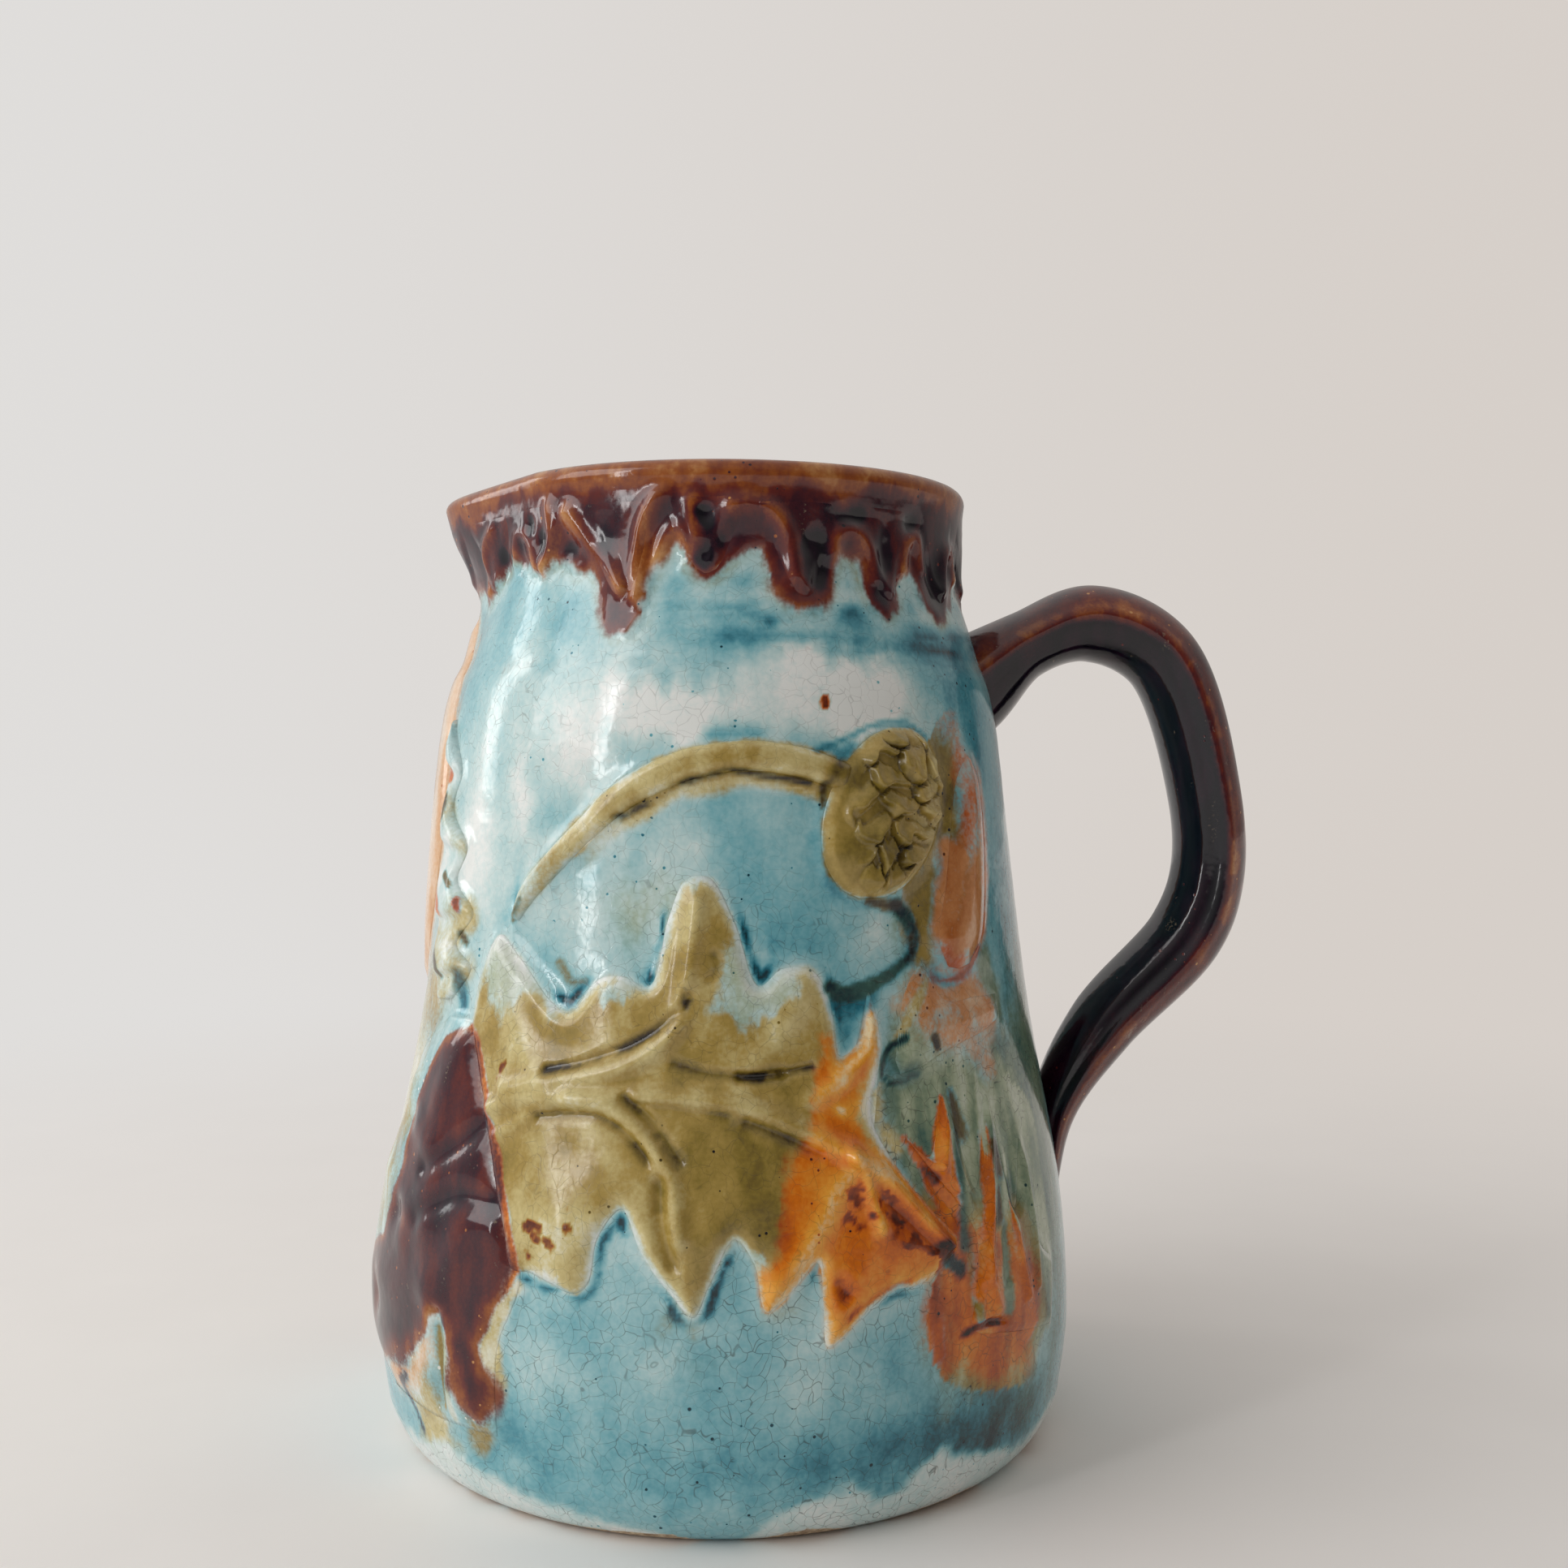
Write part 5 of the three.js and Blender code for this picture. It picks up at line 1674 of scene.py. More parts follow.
POD_STATIONS: tuple[Station, ...] = (
    ((41.6, 87.4), (44.4, 86.8), (47.6, 87.4)),
    ((39.8, 92), (46, 91.6), (52.4, 91.6)),
    ((42.4, 101), (48.6, 101), (55.4, 101)),
    ((45, 111), (50.4, 111), (56.4, 111)),
    ((47.6, 118), (51.8, 118.4), (56, 117.6)),
    ((51, 121.4), (52.2, 121.9), (53.6, 121.4)),
)
HUSK_STATIONS: tuple[Station, ...] = (
    ((29.2, 71.4), (28.8, 72.4), (28.4, 73.6)),
    ((34, 72.2), (32.6, 78), (31.4, 84.4)),
    ((38, 73.6), (36.6, 80), (35, 88)),
    ((44, 75), (42, 79), (40, 82.2)),
    ((50, 76), (49.4, 79), (48.8, 81.8)),
    ((55.6, 77.6), (55.6, 79.6), (55.6, 81.6)),
)
SPOUT_POD_STATIONS: tuple[Station, ...] = (
    ((-94, 80.6), (-90, 80), (-86, 80.6)),
    ((-102, 90), (-90, 90), (-78, 90)),
    ((-107, 104), (-90, 104), (-73, 104)),
    ((-106, 121), (-90, 121), (-74, 121)),
    ((-101, 136), (-90, 136), (-79, 136)),
    ((-94, 146.4), (-90, 147), (-86, 146.4)),
)
POD_STROKES_AND_BUD_SHADOW = strokes(
    # The first three strokes paint the shadow of the bud on the pod's left side and the wall beside it, in
    # dusky peach and olive.
    (((45.4, 121), (43, 110), (40.4, 99), (39, 90)), 6.6, "peach", 1.0, 0.62, 0.9, 0.5),
    (((44.6, 121), (42, 110), (39, 99), (37, 91)), 4.8, "olive", 1.0, 0.62, 1.0, 0.6),
    (((44.4, 106), (42.4, 99), (41, 93), (41.6, 88.6)), 2.8, "peach", 1.0, 0.56, 1.0, 0.6),
    (((51, 122), (50, 116), (49, 109)), 3.2, "rust", 0.6, 0.42, 0.7, 1.0),
    (((54.4, 119), (55.8, 110), (55, 101), (53, 93)), 2.4, "rust", 0.75, 0.5, 0.7, 1.0),
    (((38, 85.8), (42, 85.2), (47, 86.4), (51, 89.6)), 0.9, "rust", 0.9, 0.76, 0.8, 0.8),
    (((40.6, 90), (42, 87.6), (45, 87.8)), 1.8, "rust", 0.8, 0.5, 1.0, 0.9),
)


@dataclass
class Pod(Sprig):
    """A smooth swollen pod, peach in the middle and rust along its sides."""

    strokes: tuple[Stroke, ...] = ()
    depth: float = 0.5

    def brush(self, coats: Coats, spots: Spots, inside: Array) -> None:
        """Lay peach, then the strokes given: rust streaks down the sides and, for the pod beside the bud, a
        painted shadow of the bud.

        Args:
            coats: Coats that are changed.
            spots: The places.
            inside: Distance inside the outline.
        """
        cover = rise(-3.6, 0.8, inside + 0.8 * spots.middle)
        depth = self.depth + 0.08 * spots.middle + 0.1 * spots.streak
        coats.pool(cover, depth - 0.06 * rise(1.0, 5.0, inside))
        coats.wipe(cover, "olive", "rust", "sage")
        coats.lay("peach", cover)
        for stroke in self.strokes:
            stroke.lay(coats, spots, self.shop.wall)
        coats.craze += (0.4 - coats.craze) * cover


HUSK_STROKES = strokes(
    (((37, 84.6), (41, 83.6), (46, 82), (52, 79)), 6.0, "peach", 0.85, 0.48, 0.8, 1.0),
    (((37, 86.4), (42, 85), (48, 86.4)), 1.2, "rust", 0.85, 0.74, 0.8, 0.9),
    (((36, 86), (33, 82), (29, 76.6)), 1.0, "olive", 0.7, 0.2, 0.7, 0.9),
    (((30.5, 77), (27, 75), (25.8, 71.4), (27.5, 70), (33, 71)), 0.6, "sage", 1.0, 0.99, 0.7, 0.6),
    (((27.4, 73), (29, 71.4), (32, 71.6)), 1.7, "", 0.7, 0.8, 0.8, 1.0),
    (((36.5, 76.4), (37, 75)), 0.9, "olive", 1.0, 0.97, 0.8, 0.4),
    (((41, 79), (46, 75), (50, 70)), 4.4, "peach", 0.7, 0.44, 0.5, 1.0),
    (((53, 88), (56, 80), (57, 70)), 2.6, "sage", 0.9, 0.6, 0.8, 1.0),
)


@dataclass
class Husk(Sprig):
    """The small husk under the pod in mixed peach and sage."""

    def brush(self, coats: Coats, spots: Spots, inside: Array) -> None:
        """Lay peach over sage in clouds, with a dark pool on its left edge.

        Args:
            coats: Coats that are changed.
            spots: The places.
            inside: Distance inside the outline.
        """
        cover = rise(-4.0, 1.6, inside + 1.6 * spots.middle)
        coats.pool(cover, 0.34 + 0.12 * spots.middle + 0.1 * spots.fine)
        coats.lay("sage", 0.9 * cover)
        for stroke in HUSK_STROKES:
            stroke.lay(coats, spots, self.shop.wall)
        coats.craze += (0.8 - coats.craze) * cover


RIM_HEM: tuple[Pair, ...] = (
    (-90, 150), (-84, 152), (-78, 150.6), (-74, 149), (-68, 152), (-61, 156.5), (-54.5, 155.5),
    (-50, 153), (-46.5, 152.5), (-42.5, 154.3), (-36, 152), (-32.5, 152.3), (-29, 150), (-27.4, 147),
    (-26.4, 143.6), (-23.6, 141.4), (-20, 141.3), (-17.6, 143.6), (-17.2, 149), (-15.5, 152.5),
    (-14, 154.2), (-11.5, 156.4), (-9.5, 154.8), (-8, 152.6), (-5.2, 150.4), (-1.9, 151.4), (1, 153.6),
    (4.4, 155), (7.4, 155.2), (8.8, 152.6), (9.2, 149.8), (10.6, 147), (14.6, 145.3), (19.7, 145.8),
    (22.8, 148.5), (24.5, 152.3), (26, 154.7), (28.5, 155), (30.4, 153.4), (31.2, 150), (32.8, 147),
    (36.5, 145), (40, 147), (41.5, 150.5), (44, 152.5), (48, 151), (50, 147), (54.5, 145), (60, 147),
    (66, 151), (72, 153), (79, 148.6), (85, 152), (90, 153))
RIM_TIPS: tuple[Pair, ...] = (
    (-90, 151), (-70, 149.6), (-46, 151.4), (-22.6, 147.4), (-4.6, 151), (16.6, 147.4), (38, 147.4),
    (58, 148), (79.4, 149.6), (100.6, 149.6))
RIM_FOLDS = veins(
    (((1, 162.3), (7, 162.4), (11.3, 160), (13.5, 156.4), (14, 151)), 1.7, 1.0),
    (((23.3, 155), (25, 158), (28.4, 159), (32, 156.4), (34, 151.4)), 1.6, 0.9),
    (((-38, 162), (-33, 157.5), (-28, 153.4), (-23, 149)), 1.7, 1.1),
    (((-14.5, 165), (-18.2, 160), (-19.4, 154), (-19.6, 148)), 1.7, 1.2),
    (((-60, 155), (-57, 159.6), (-53, 159), (-50, 154)), 1.4, 0.8),
    (((-16, 153), (-14, 157), (-11, 158.6), (-8.6, 155)), 1.5, 0.6),
    (((43.5, 153), (45, 157.6), (48.5, 159), (51, 154)), 1.5, 0.8),
    (((-8.6, 152), (-7, 157), (-8, 163)), 1.6, 0.5),
    (((-46.6, 153), (-43, 158), (-44, 164)), 1.6, 0.7),
    (((60, 151), (62, 157), (66, 158), (70, 153)), 1.5, 0.7),
    (((-74, 151), (-72, 158), (-68, 161)), 1.5, 0.7),
)
# Hollows pressed into the band: they sink the relief, pool the treacle thick and carry painted shade.
RIM_HOLLOWS = dabs(
    (-4.8, 160.7, 2.2, 2.0, 1.0), (-5.4, 154, 2.6, 2.6, 0.8), (18.8, 156.4, 3.2, 2.8, 1.0),
    (20, 151.4, 3.2, 3, 0.9), (28.7, 161.4, 4.2, 1.4, 1.0), (37.5, 156, 2.2, 4.4, 1.0),
    (46.5, 161.4, 3, 1.6, 1.0), (-51, 160.5, 1.8, 2, 0.8), (-27.5, 157.4, 3.4, 3.4, 0.5),
    (-46.5, 157.5, 1.8, 2.4, 0.8), (56, 153, 3.6, 5, 0.8), (-65, 156, 2.4, 3, 0.7), (76, 155, 4, 4, 0.8),
    (-90, 156, 6, 3, 0.6), (7, 163.8, 2.4, 1.2, 0.6), (-38, 156, 3, 2, 0.6), (-1, 157, 2, 2, 0.6),
)


@dataclass
class RimGlaze:
    """The treacle band round the rim, with its folds and its hanging hem."""

    shop: Workshop
    hem_reach: float = 136.0
    fold_reach: float = 144.0

    def hem(self, turn: Array) -> Array:
        """Height of the hem at a folded turn."""
        return np.interp(turn, *zip(*RIM_HEM))

    def above(self, spots: Spots) -> Array:
        """Distance of places from the hem, positive in the band."""
        turn = np.linspace(-90.0, 90.0, 700)
        line = self.shop.wall.place(turn, self.hem(turn), 0.0)
        near = spots.height > self.hem_reach
        far = np.full(spots.turn.shape, -FAR)
        distance = nearest_distance(line, spots.place[near])
        far[near] = np.where(spots.height[near] > self.hem(spots.turn[near]), distance, -distance)
        return far

    def folds(self, spots: Spots) -> tuple[Array, Array]:
        """Folds that were pressed into the band.

        Args:
            spots: The places.

        Returns:
            How far the folds stand off the wall, and how crested each place is.
        """
        near = np.nonzero(spots.height > self.fold_reach)[0]
        place = spots.place[near]
        lift, crest = np.zeros(len(near)), np.zeros(len(near))
        for fold in RIM_FOLDS:
            close = fade(fold.distance(self.shop.wall, place), fold.width)
            lift = np.maximum(lift, fold.lift * close)
            crest = np.maximum(crest, close)
        lift -= 0.7 * unit(dabbed(RIM_HOLLOWS, spots.turn[near], spots.height[near]))
        lift *= rise(166.8, 163.4, spots.height[near])
        whole = np.zeros((2, len(spots.turn)))
        whole[:, near] = lift, crest
        return whole[0], whole[1]

    def brush(self, coats: Coats, spots: Spots, above: Array, crest: Array) -> None:
        """Lay treacle: thin on the lip and the folds, thick in the hollows and darkened there with painted
        shade, feathered at the hem.

        Args:
            coats: Coats that are changed.
            spots: The places.
            above: Distance of the places from the hem, positive in the band.
            crest: How crested each place is.
        """
        cover = rise(-1.7, 1.0, above + 1.1 * spots.streak + 0.2 * spots.fine)
        thick = 0.2 + 0.46 * rise(-0.8, 2.6, above) + 0.12 * spots.middle + 0.14 * spots.streak
        thick += 0.1 * rise(8.0, 40.0, spots.turn)
        turn, height = spots.turn + spots.fine, spots.height + 0.8 * spots.middle
        hollow = unit(dabbed(RIM_HOLLOWS, turn, height))
        # In the hollows the treacle goes to its darkest: partly glaze pooled thick, partly painted shade.
        pooled_and_shaded = rise(0.2, 0.65, hollow) * rise(0.2, 1.6, above)
        thick += (1.0 - thick) * pooled_and_shaded - 0.38 * crest * (1.0 - hollow)
        lip = rise(163.0, 167.4, spots.height + 2.4 * spots.streak + 1.6 * spots.middle)
        thick += (0.17 + 0.12 * spots.streak - thick) * 0.95 * lip
        coats.pool(0.6 * fade(above + 1.8, 1.6), 0.24)
        coats.lay("olive", 0.3 * fade(above + 0.8, 1.4))
        coats.pool(cover, thick)
        coats.lay("treacle", cover)
        coats.craze *= 1.0 - 0.7 * cover


# White glaze clouds; the long dab at turn -54, height 105 is a painted highlight down the left flank.
CLOUD_AND_HIGHLIGHT_DABS = dabs(
    (-40, 115, 4, 8, -0.34), (-9, 129, 9, 4.4, -0.4), (-22, 130, 9, 6, -0.3), (14, 135, 11, 5, -0.36),
    (30, 133, 10, 6, -0.36), (8, 129, 24, 5, -0.26), (-36, 128, 12, 10, -0.22), (-25, 28, 7, 6, -0.18),
    (10, 25, 7, 5, -0.14), (-10, 30, 4, 4, -0.14), (-54, 105, 8, 26, -0.34), (-28, 119, 8, 6, -0.2),
    (-26, 95, 9, 8, -0.2), (24, 127, 8, 3, -0.18), (5, 91, 2.6, 1.6, -0.3), (26, 92, 6, 5, -0.22),
    (-14, 101, 8, 7, -0.14), (-76, 60, 10, 24, -0.3), (-46, 132, 10, 12, -0.2), (-7, 107, 5, 4, -0.14),
    (-34, 108, 5, 4, -0.16),
)
POOL_DABS = dabs(
    (-41.6, 97, 1.6, 2.4, 0.4), (6, 96, 8, 8, 0.18), (12, 90, 6, 3, 0.14), (-3, 13, 12, 5, 0.14),
    (-32, 13, 8, 5, 0.1), (18, 142, 16, 5, 0.2), (-14, 146, 16, 4, 0.14), (46, 138, 9, 9, 0.22),
    (57, 128, 9, 14, 0.24), (72, 100, 12, 24, 0.26), (21, 79, 3.4, 5, 0.4), (62, 66, 7, 16, 0.2),
    (26, 64, 2.4, 7, 0.24), (7, 144, 1.8, 1.6, 0.36), (22, 15, 12, 6, 0.24), (40, 15, 14, 8, 0.28),
    (-4, 22, 24, 9, 0.06), (24, 28, 4, 5, 0.14), (50, 12, 16, 7, 0.2), (64, 40, 10, 20, 0.16),
)
RUST_DABS = dabs((48, 22.6, 8, 4, 0.5), (31, 34, 2, 6, 0.5))
SAGE_DABS = dabs(
    (50, 60, 14, 16, 0.95), (64, 46, 10, 24, 0.85), (72, 74, 12, 24, 0.7), (34, 72, 6, 8, 0.8),
    (40, 44, 8, 14, 0.95), (36, 26, 7, 6, 0.5), (26, 66, 2.6, 6, 0.7), (32, 92, 4, 6, 0.5),
    (48, 14, 15, 7, 0.6), (-7, 31, 6, 4, 0.2), (-16, 98, 9, 8, 0.45),
)
PEACH_DABS = dabs(
    (43, 76, 6, 5, 0.7), (52, 82, 6, 8, 0.5), (-90, 112, 15, 34, 1.0), (-68, 78, 6, 8, 0.3))
OLIVE_DABS = dabs(
    (-7, 37, 3.4, 3, 0.5), (-74, 62, 11, 24, 0.85), (-64, 84, 7, 8, 0.5), (30, 30, 3, 5, 0.4),
    (36, 20, 6, 3, 0.35), (7, 37, 3, 3, 0.35),
)
BODY_STROKES = strokes(
    (((30.4, 98), (33, 95.4), (34.2, 92), (32.4, 89.4), (28.6, 87), (24, 85.4), (19.6, 84.4),
      (17, 85.6)), 1.2, "sage", 0.95, 0.96),
    (((23.4, 84), (20, 82.6), (18.4, 83)), 2.0, "", 0.9, 0.93, 0.8, 0.8),
    (((25, 98.8), (28, 98.2), (31, 98)), 0.8, "olive", 0.9, 1.0, 0.8, 0.8),
    (((33.6, 92.6), (33.2, 89)), 1.1, "olive", 0.7, 0.95, 0.8, 0.9),
    (((17.1, 117.6), (16.8, 114)), 0.5, "olive", 0.75, 0.95, 0.8, 0.8),
    (((-29.4, 88.8), (-26.6, 86), (-24.4, 86.4)), 0.9, "olive", 0.6, 0.8, 0.8, 0.9),
    (((-40, 95), (-38.6, 97), (-37.6, 98.8)), 0.5, "olive", 0.6, 0.85, 0.8, 0.9),
    (((18.3, 130.9), (18.3, 130.3)), 0.6, "rust", 1.0, 0.88),
    (((0, 141.6), (6, 141), (14, 141.6), (22, 141)), 0.7, "", 0.5, 0.74, 0.8, 0.9),
    (((3, 145.4), (8, 144.6), (13, 145.2)), 0.8, "", 0.5, 0.8, 0.8, 0.9),
    (((18, 139), (26, 138.6), (34, 139.6)), 0.7, "", 0.4, 0.7, 0.8, 0.9),
    (((16, 122.8), (22, 124.8), (28, 127), (35, 127.2), (40, 125)), 0.6, "", 0.7, 0.86, 0.7, 0.7),
)
FOOT_HEM: tuple[Pair, ...] = (
    (-90, 5), (-60, 6), (-50, 9), (-43.6, 8.5), (-35, 7), (-26, 4.7), (-15, 2.5), (-8, 0.2), (2, 0.6),
    (5, 4), (12, 9), (18, 10), (22, 7), (28, 9), (33, 12.5), (40, 10), (55, 7), (70, 9), (90, 6))
HANDLE_ROOTS = ((13.5, 134.0, 12.0), (9.0, 56.0, 22.0))


@dataclass
class Brushwork:
    """One coat of paint for the body and everything on it, so that glazes run from piece to piece."""

    shop: Workshop
    sprigs: Sequence[Sprig]
    rim: RimGlaze

    def ground(self, spots: Spots) -> Coats:
        """Turquoise ground with its clouds, a painted highlight on the left flank, pools and stains.

        Args:
            spots: The places.

        Returns:
            The coats of the ground.
        """
        turn = spots.turn + 2.2 * spots.middle + 0.8 * spots.fine
        height = spots.height + 2.0 * spots.streak + 0.8 * spots.fine
        brush = self.shop.noise.cloud(spots.place * np.array([0.14, 0.14, 1.0]), 2.6, 5)
        coats = Coats(0.47 + 0.08 * spots.broad + 0.09 * spots.middle + 0.04 * spots.fine)
        coats.depth += dabbed(CLOUD_AND_HIGHLIGHT_DABS, turn, height) + dabbed(POOL_DABS, turn, height)
        neck = rise(136.0, 141.0, spots.height) * rise(154.0, 148.0, spots.height)
        coats.depth += neck * rise(-30.0, 6.0, spots.turn) * (0.08 + 0.3 * brush)
        stained = {"sage": SAGE_DABS, "peach": PEACH_DABS, "olive": OLIVE_DABS, "rust": RUST_DABS}
        for name, stains in stained.items():
            coats.lay(name, dabbed(stains, turn, height))
        coats.craze += unit(0.45 + 0.4 * rise(110.0, 50.0, spots.height) + 0.15 * spots.broad)
        return coats

    def foot(self, coats: Coats, spots: Spots) -> None:
        """White slip that shows at the foot, and bare clay on its edge."""
        hem = np.interp(spots.turn, *zip(*FOOT_HEM))
        white = rise(1.2, -1.2, spots.height - hem + 1.4 * spots.middle + 0.9 * spots.fine)
        coats.pool(white, 0.1 + 0.12 * unit(spots.middle))
        coats.wipe(0.8 * white, "treacle", "rust", "olive", "sage")
        coats.bare = rise(1.3, 0.3, spots.height + 1.2 * spots.middle + 0.6 * spots.fine)

    def handle_roots(self, coats: Coats, spots: Spots) -> None:
        """Treacle that ran from the handle onto the wall."""
        upper, lower = (np.hypot((spots.turn - 90.0) / wide, (spots.height - middle) / tall)
                        for wide, middle, tall in HANDLE_ROOTS)
        root = rise(1.15, 0.85, np.minimum(upper, lower) + 0.1 * spots.middle)
        coats.pool(root, 0.7)
        coats.lay("treacle", root)

    def paint(self, turn: Array, height: Array, place: Array) -> tuple[Coats, Array, Array]:
        """Paint places on the wall.

        Args:
            turn: Turns anywhere round the jug.
            height: Heights.
            place: The points themselves.

        Returns:
            The coats, how far the glaze stands off the bare wall, and how far the folds of the rim do.
        """
        spots = Spots.on(self.shop.noise, turn, height, place)
        coats = self.ground(spots)
        gap = np.full(spots.turn.shape, FAR)
        for sprig in self.sprigs:
            inside = sprig.reach(spots)
            gap = np.minimum(gap, np.abs(inside))
            pick = np.nonzero(inside > -BRUSH_REACH)[0]
            part = coats.take(pick)
            sprig.brush(part, spots.take(pick), inside[pick])
            coats.put(pick, part)
        for stroke in BODY_STROKES:
            stroke.lay(coats, spots, self.shop.wall)
        above = self.rim.above(spots)
        folds, crest = self.rim.folds(spots)
        self.rim.brush(coats, spots, above, crest)
        self.handle_roots(coats, spots)
        self.foot(coats, spots)
        stand = FILLET * np.exp(-((gap / FILLET_WIDTH) ** 1.5))
        stand += STEM_TIE.lift * fade(STEM_TIE.distance(self.shop.wall, spots.place), STEM_TIE.width)
        stand += 0.4 * rise(-0.6, 1.2, above) * rise(166.0, 162.0, spots.height)
        return coats, stand, folds


@dataclass
class RimLeaf(Sprig):
    """One folded leaf tip that hangs under the lip."""

    def build(self, brushwork: Brushwork) -> None:
        """Make the leaf tip as a low swelling that carries the folds of the band.

        Args:
            brushwork: The paint that it shares with the body.
        """
        grid = self.grid()
        coats, stand, folds = brushwork.paint(grid.turn, grid.height, grid.place)
        down = grid.along / (len(self.stations) - 1)
        domed = self.crown * np.cos(grid.across * 1.4) * rise(0.05, 0.5, down)
        swell = rise(0.0, 2.6, grid.gap) * (self.edge + domed)
        lift = stand.reshape(swell.shape) - TUCK + swell * rise(0.0, 0.3, down) + folds.reshape(swell.shape)
        self.shop.set_down(self.mesh(grid, coats, lift), self.node, self.glaze)


@dataclass
class RimCollar:
    """The ring of folded leaf tips under the lip."""

    shop: Workshop
    brushwork: Brushwork
    count: int = 17
    half_turn: float = 9.4
    top: float = 165.6
    shape: tuple[Pair, ...] = (
        (0.0, 1.02), (0.24, 1.0), (0.46, 0.82), (0.66, 0.62), (0.84, 0.44), (0.95, 0.28), (1.0, 0.08))

    def build(self) -> None:
        """Make every leaf tip down to the hem of the glaze."""
        tips = np.array(RIM_TIPS)
        for i in range(self.count):
            turn = -90.0 + 360.0 / self.count * i
            front = float(fold_turn(np.array([turn]))[0])
            tip = tips[np.argmin(np.abs(tips[:, 0] - front))]
            lean = (tip[0] - front) * (1.0 if abs((turn + 180.0) % 360.0 - 180.0) <= 90.0 else -1.0)
            stations = []
            for down, wide in self.shape:
                middle = turn + lean * down
                z = self.top - (self.top - tip[1]) * down
                half = self.half_turn * wide
                stations.append(((middle - half, z), (middle, z), (middle + half, z)))
            node = f"rim_leaf_{i + 1:02d}"
            leaf = RimLeaf(self.shop, node, Glaze.TREACLE, tuple(stations), 12, 18, 0.25, 0.7, paired=False)
            leaf.build(self.brushwork)


@dataclass
class JugBody:
    """The thrown body with its pulled spout, hollow inside."""

    shop: Workshop
    brushwork: Brushwork
    columns: int = 560
    row: float = 0.75
    lip_steps: int = 12
    floor: float = 7.0
    inner_corner: float = 9.0

    def rings(self) -> tuple[Array, Array, Array]:
        """Rows of the body from the base edge over the lip to the inner floor.

        Returns:
            Radius, height and whether a row shows outside, for each row.
        """
        wall = self.shop.wall
        foot = wall.profile[wall.profile[:, 1] < wall.knots[0][1]][::2]
        low, high = wall.knots[0][1], wall.knots[-1][1]
        outer_z = np.linspace(low, high, int((high - low) / self.row))
        outer = np.stack([wall.radius(outer_z), outer_z], axis=-1)
        half = wall.thickness / 2.0
        angle = np.linspace(0.0, math.pi, self.lip_steps + 1)[1:-1]
        crest = wall.knots[-1][0] - half
        lip = np.stack([crest + half * np.cos(angle), high + half * np.sin(angle)], axis=-1)
        corner_top = self.floor + self.inner_corner
        inner_z = np.linspace(high, corner_top, 60)
        inner = np.stack([wall.radius(inner_z) - wall.thickness, inner_z], axis=-1)
        sweep = np.linspace(0.0, math.pi / 2.0, 9)[1:]
        corner = np.stack([inner[-1, 0] - self.inner_corner * (1.0 - np.cos(sweep)),
                           corner_top - self.inner_corner * np.sin(sweep)], axis=-1)
        floor = np.stack([np.linspace(corner[-1, 0], 3.0, 12)[1:], np.full(11, self.floor)], axis=-1)
        base = np.stack([np.linspace(3.0, wall.foot, 10)[:-1], np.zeros(9)], axis=-1)
        rows = np.vstack([base, foot, outer, lip, inner, corner, floor])
        outside = np.zeros(len(rows), bool)
        outside[len(base):len(base) + len(foot) + len(outer) + len(lip)] = True
        return rows[:, 0], rows[:, 1], outside

    def mesh(self) -> ClayMesh:
        """Turn the rows, draw out the spout and lay the glazes."""
        wall = self.shop.wall
        radius, level, outside = self.rings()
        round_turn = np.linspace(-180.0, 180.0, self.columns, endpoint=False)
        turn, height = np.meshgrid(round_turn, level, indexing="ij")
        spun = radius[None, :] * wall.stretch(turn, height)
        bare = around(spun, turn, height - wall.dip(turn, height))
        coats, stand, folds = self.brushwork.paint(turn[:, outside], height[:, outside], bare[:, outside])
        calm = rise(wall.height - 1.5, wall.height - 5.0, height[:, outside])
        lift = np.zeros(turn.shape)
        raised = (stand + folds).reshape(self.columns, -1) * calm
        lift[:, outside] = wall.waver(turn, height)[:, outside] + raised
        out = around(np.ones_like(turn), turn, np.zeros_like(turn))
        points = (bare + out * lift[..., None]).reshape(-1, 3)
        coat, tone = (column.reshape(*turn.shape, 4) for column in self.inner_coats(height, bare).columns())
        for column, painted in zip((coat, tone), coats.columns()):
            column[:, outside] = painted.reshape(self.columns, -1, 4)
        poles = np.array([[0.0, 0.0, 0.0], [0.0, 0.0, self.floor]])
        return ClayMesh.capped(points, (coat.reshape(-1, 4), tone.reshape(-1, 4)), self.columns, poles)

    def inner_coats(self, height: Array, place: Array) -> Coats:
        """Pale turquoise inside, with the treacle of the lip running in, and bare clay below.

        Args:
            height: Heights of the points.
            place: The points.

        Returns:
            The coats.
        """
        noise = self.shop.noise
        broad = noise.cloud(place, 26.0, 11)
        streak = noise.cloud(place * np.array([1.0, 1.0, 0.12]), 3.0, 12)
        coats = Coats(0.24 + 0.12 * broad)
        coats.treacle = rise(150.0, 157.0, height + 5.0 * streak)
        coats.pool(coats.treacle, 0.3 + 0.2 * streak)
        coats.bare = rise(0.5, 0.1, height)
        coats.craze += 0.4
        return coats

    def build(self) -> None:
        """Make the body."""
        self.shop.set_down(self.mesh(), "jug_body", Glaze.TURQUOISE)


